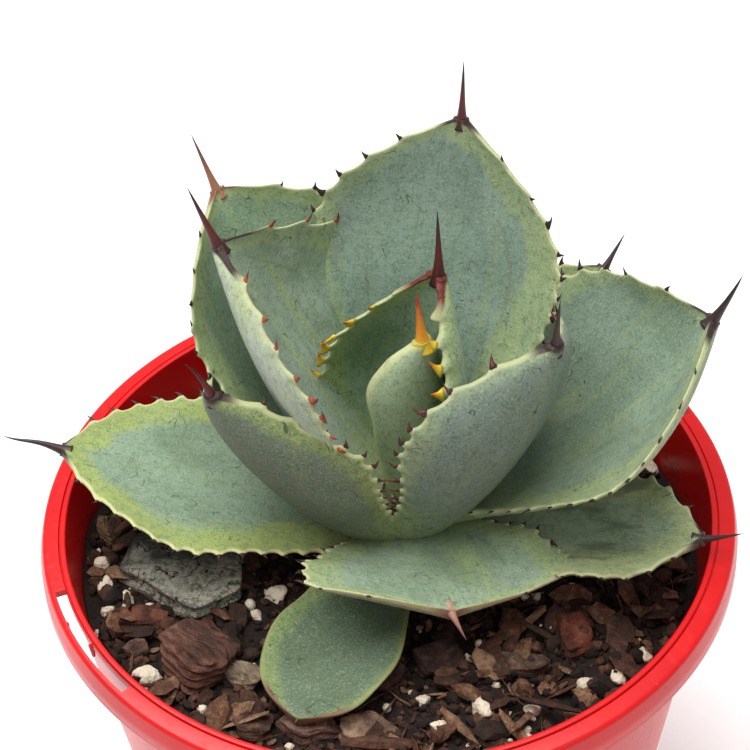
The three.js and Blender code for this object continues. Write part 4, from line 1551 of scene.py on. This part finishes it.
def make_leaves(level: float) -> None:
    """Makes the fourteen leaves, from the heart outwards."""
    leaves = [
        Leaf("leaf_heart", -35, 4, 14, 43, 22, (85, 91), (62, 62), (0, 0), 0.7, 10,
             Armour(HornTone.FLAME, HornTone.AMBER, 0, spine_radius=1.65, bend=(0.05, 0.1)),
             LeafSkin("9aae8b", "869d78", "a8b878", under="93a583", band_width=(1, 1), stripes=0.1,
                      horn="b9ab3c", horn_run=0.5, horn_cap=1.0), taper=0.7),
        Leaf("leaf_inner", 45, 3, 14, 49, 42, (76, 83), (70, 82), (0, 0), 0.48, 14,
             Armour(HornTone.WINE, HornTone.AMBER, 8, 3.2, 0.25, first=0.32, last=0.84, bend=(0.0, 0.05),
                    spine_radius=1.4),
             LeafSkin("80987a", "6c8662", "94a84e", under="a3b3a0", band_width=(4, 4), horn="64231a",
                      horn_run=6.5), scallop=2.0),
        Leaf("leaf_left", 160, 3, 17, 61, 58, (57, 64), (50, 56), (6, 8), 0.6, 13,
             Armour(HornTone.WINE, HornTone.RED, 11, 2.2, spine_radius=1.4),
             LeafSkin(under="b4bdae", band_width=(3, 8), band_strength=0.45, stripes=0.6, horn_run=9.0),
             scallop=1.8),
        Leaf("leaf_front_right", -24, 4, 10, 60, 51, (44, 82), (50, 55), (-8, -20), 0.66, 10,
             Armour(HornTone.DARK, HornTone.WINE, 11, 2.2),
             # Its dark under colour is painted shade on the underside, which faces down, away from the
             # overhead light.
             LeafSkin(under="6f7e73", band_width=(2, 3), band_strength=0.3, stripes=0.15, marks=0.75)),
        Leaf("leaf_back", 62, 4, 18, 72, 53, (56, 80), (35, 28), (0, 0), 0.64, 12,
             Armour(HornTone.WINE, HornTone.DARK, 13, 1.9),
             LeafSkin("8a9f8f", "75897a", band_width=(3, 11))),
        Leaf("leaf_front_left", 198, 4, 9, 55, 47, (34, 76), (50, 55), (10, 26), 0.57, 10,
             Armour(HornTone.WINE, HornTone.WINE, 11, 1.8, bend=(-0.3, 0.0)),
             # Its dark under colour is painted shade on the underside, which faces down, away from the
             # overhead light.
             LeafSkin(under="5f6858", band="8c9c42", band_width=(3, 3), stripes=0.1, horn_cap=1.2,
                      marks=0.8)),
        Leaf("leaf_right", 3, 4, 10, 72, 60, (20, 55), (38, 38), (0, 5), 0.67, 11,
             Armour(HornTone.DARK, HornTone.DARK, 13, 1.7, bend=(0.12, 0.0), spine_radius=1.4),
             LeafSkin("798d7a", "647762", "93a164", band_width=(3, 10), horn_run=6.0),
             base_share=0.2),
        Leaf("leaf_back_left", 137, 4, 12, 70, 53, (52, 58), (30, 35), (0, 0), 0.66, 12,
             Armour(HornTone.TAN, HornTone.DARK, 13, 1.6),
             LeafSkin("829a80", "6e8666", band_width=(5, 5), stripes=0.5, horn="7a4c38")),
        Leaf("leaf_back_right", 38, 5, 8, 62, 44, (25, 42), (30, 35), (0, 0), 0.55, 8,
             Armour(HornTone.DARK, HornTone.DARK, 10, 1.6),
             LeafSkin("7e9070", "6c7f58", "93a058", band_width=(6, 6)), tuck=0.8),
        Leaf("leaf_low_back", 100, 5, 5, 54, 40, (24, 20), (15, 20), (0, 0), 0.6, 9,
             Armour(HornTone.DARK, HornTone.DARK, 10, 1.6), LeafSkin(band_width=(6, 6))),
        Leaf("leaf_front", -76, 4, 7, 34, 53, (32, 3), (12, 15), (0, -16), 0.78, 8,
             Armour(HornTone.PINK, HornTone.DARK, 11, 1.4),
             LeafSkin("8c9f87", "74886b", margin="c9bf94", band_width=(7, 7), stripes=0.5, horn="9a7460",
                      horn_run=3.0, horn_cap=0.4), ripple=0.8),
        Leaf("leaf_low_right", -20, 5, 5, 58, 29, (14, 14), (20, 20), (0, 0), 0.68, 8,
             Armour(HornTone.DARK, HornTone.DARK, 12, 1.3, bend=(0.12, 0.0)),
             LeafSkin("96a78a", "7f9270", "a9ad6c", band_width=(5, 10), wetness=0.9), ripple=0.9),
        Leaf("leaf_low_left", 176, 5, 4, 66, 41, (22, 18), (10, 12), (0, 0), 0.62, 12,
             Armour(HornTone.DARK, HornTone.DARK, 13, 1.4, wave=0.9),
             LeafSkin("7f947c", "687d60", band="97a444", margin="d2cd98", band_width=(8, 8),
                      band_strength=0.8), ripple=0.8),
        Leaf("leaf_old", -113, 8, 2, 46, 26, (10, 0), (20, 15), (0, 0), 0.62, 1.5,
             Armour(HornTone.TAN, HornTone.TAN, 0, spine_radius=0.7),
             LeafSkin("5f7059", "4c5d43", "84964c", "858a52", band_width=(1.5, 4), stripes=0.0,
                      horn="6c5138", horn_run=9.0, horn_cap=-1.0, marks=0.8), taper=0.55),
    ]
    horns = {tone: tone.material("horn_" + tone.name.lower()) for tone in HornTone}
    for leaf in leaves:
        leaf.make(level, horns)


# ---- Floor, light and camera ----

@dataclass
class Studio:
    """A pale floor, soft light all round with a broad light overhead, and the camera.

    elevation and tilt: how far the camera looks down and leans, in degrees. aim: the point in the
    plane of the rim that it looks at. distance: how far it stands from there.
    """

    floor_size: float = 8.0
    sky: float = 0.47
    lens: float = 85.0
    sensor: float = 36.0
    elevation: float = 41.15
    distance: float = 385.3
    tilt: float = 2.75
    aim: tuple[float, float] = (-1.2, 38.1)

    def make_floor(self) -> None:
        """Makes the floor, just below the pot's underside."""
        half = self.floor_size / 2
        level = float(cad_box[0][2]) - 0.0001
        mesh = bpy.data.meshes.new("floor")
        corners = [(x * half, y * half, level) for x, y in ((-1, -1), (1, -1), (1, 1), (-1, 1))]
        mesh.from_pydata(corners, [], [(0, 1, 2, 3)])
        made = bpy.data.objects.new("floor", mesh)
        bpy.context.scene.collection.objects.link(made)
        nodes = Nodes("floor_paper", specular_ior_level=0.2)
        tooth = nodes.noise(3, nodes.place(), 3)
        color = nodes.blend(tooth, (0.9, 0.9, 0.9), (0.93, 0.93, 0.93))
        mesh.materials.append(nodes.finish(color, tooth * 0.1 + 0.75, tooth, 0.02))

    def make_light(self) -> None:
        """Makes the white surroundings and two broad area lights."""
        world = bpy.data.worlds.new("studio")
        world.use_nodes = True
        background = world.node_tree.nodes["Background"]
        background.inputs["Color"].default_value = (1, 1, 1, 1)
        background.inputs["Strength"].default_value = self.sky
        bpy.context.scene.world = world
        lights = [("overhead", (-0.25, 0.1, 1.35), 1.3, 27.0), ("front", (0.5, -0.9, 0.8), 0.7, 1.2)]
        for name, place, size, power in lights:
            lamp = bpy.data.lights.new(name, "AREA")
            lamp.shape = "DISK"
            lamp.size = size
            lamp.energy = power
            made = bpy.data.objects.new(name, lamp)
            made.location = place
            ahead = Vector((0, 0, 0.1)) - Vector(place)
            made.rotation_euler = ahead.to_track_quat("-Z", "Y").to_euler()
            bpy.context.scene.collection.objects.link(made)

    def make_camera(self, rim_height: float) -> None:
        """Makes the camera, aimed at a point in the plane of the rim.

        Args:
            rim_height: that plane's height, in millimetres.
        """
        lean, roll = math.radians(self.elevation), math.radians(self.tilt)
        ahead = Vector((0, math.cos(lean), -math.sin(lean)))
        right = Vector((1, 0, 0))
        up = right.cross(ahead)
        cos, sin = math.cos(roll), math.sin(roll)
        right, up = right * cos - up * sin, right * sin + up * cos
        target = Vector((*self.aim, rim_height)) * MM
        camera = bpy.data.cameras.new("camera")
        camera.lens = self.lens
        camera.sensor_width = self.sensor
        camera.clip_start = 0.01
        made = bpy.data.objects.new("camera", camera)
        turn = Matrix((right, up, -ahead)).transposed().to_4x4()
        made.matrix_world = Matrix.Translation(target - ahead * (self.distance * MM)) @ turn
        bpy.context.scene.collection.objects.link(made)
        bpy.context.scene.camera = made

    def make(self, rim_height: float) -> None:
        """Makes the floor, the light and the camera, and shows colours plainly."""
        self.make_floor()
        self.make_light()
        self.make_camera(rim_height)
        bpy.context.scene.view_settings.view_transform = "Standard"


def main() -> None:
    """Makes the studio and every piece, from the pot inwards."""
    logging.basicConfig(level=logging.INFO, format="%(name)s: %(message)s")
    pot = Pot()
    Studio().make(pot.height)
    bed = MixBed(pot)
    pot.make(bed.level)
    bed.make()
    make_chips()
    make_perlite()
    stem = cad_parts["stem"].data.materials
    stem.clear()
    stem.append(StemTissue().material("stem_tissue"))
    make_leaves(bed.level)


if __name__ == "__main__":
    main()
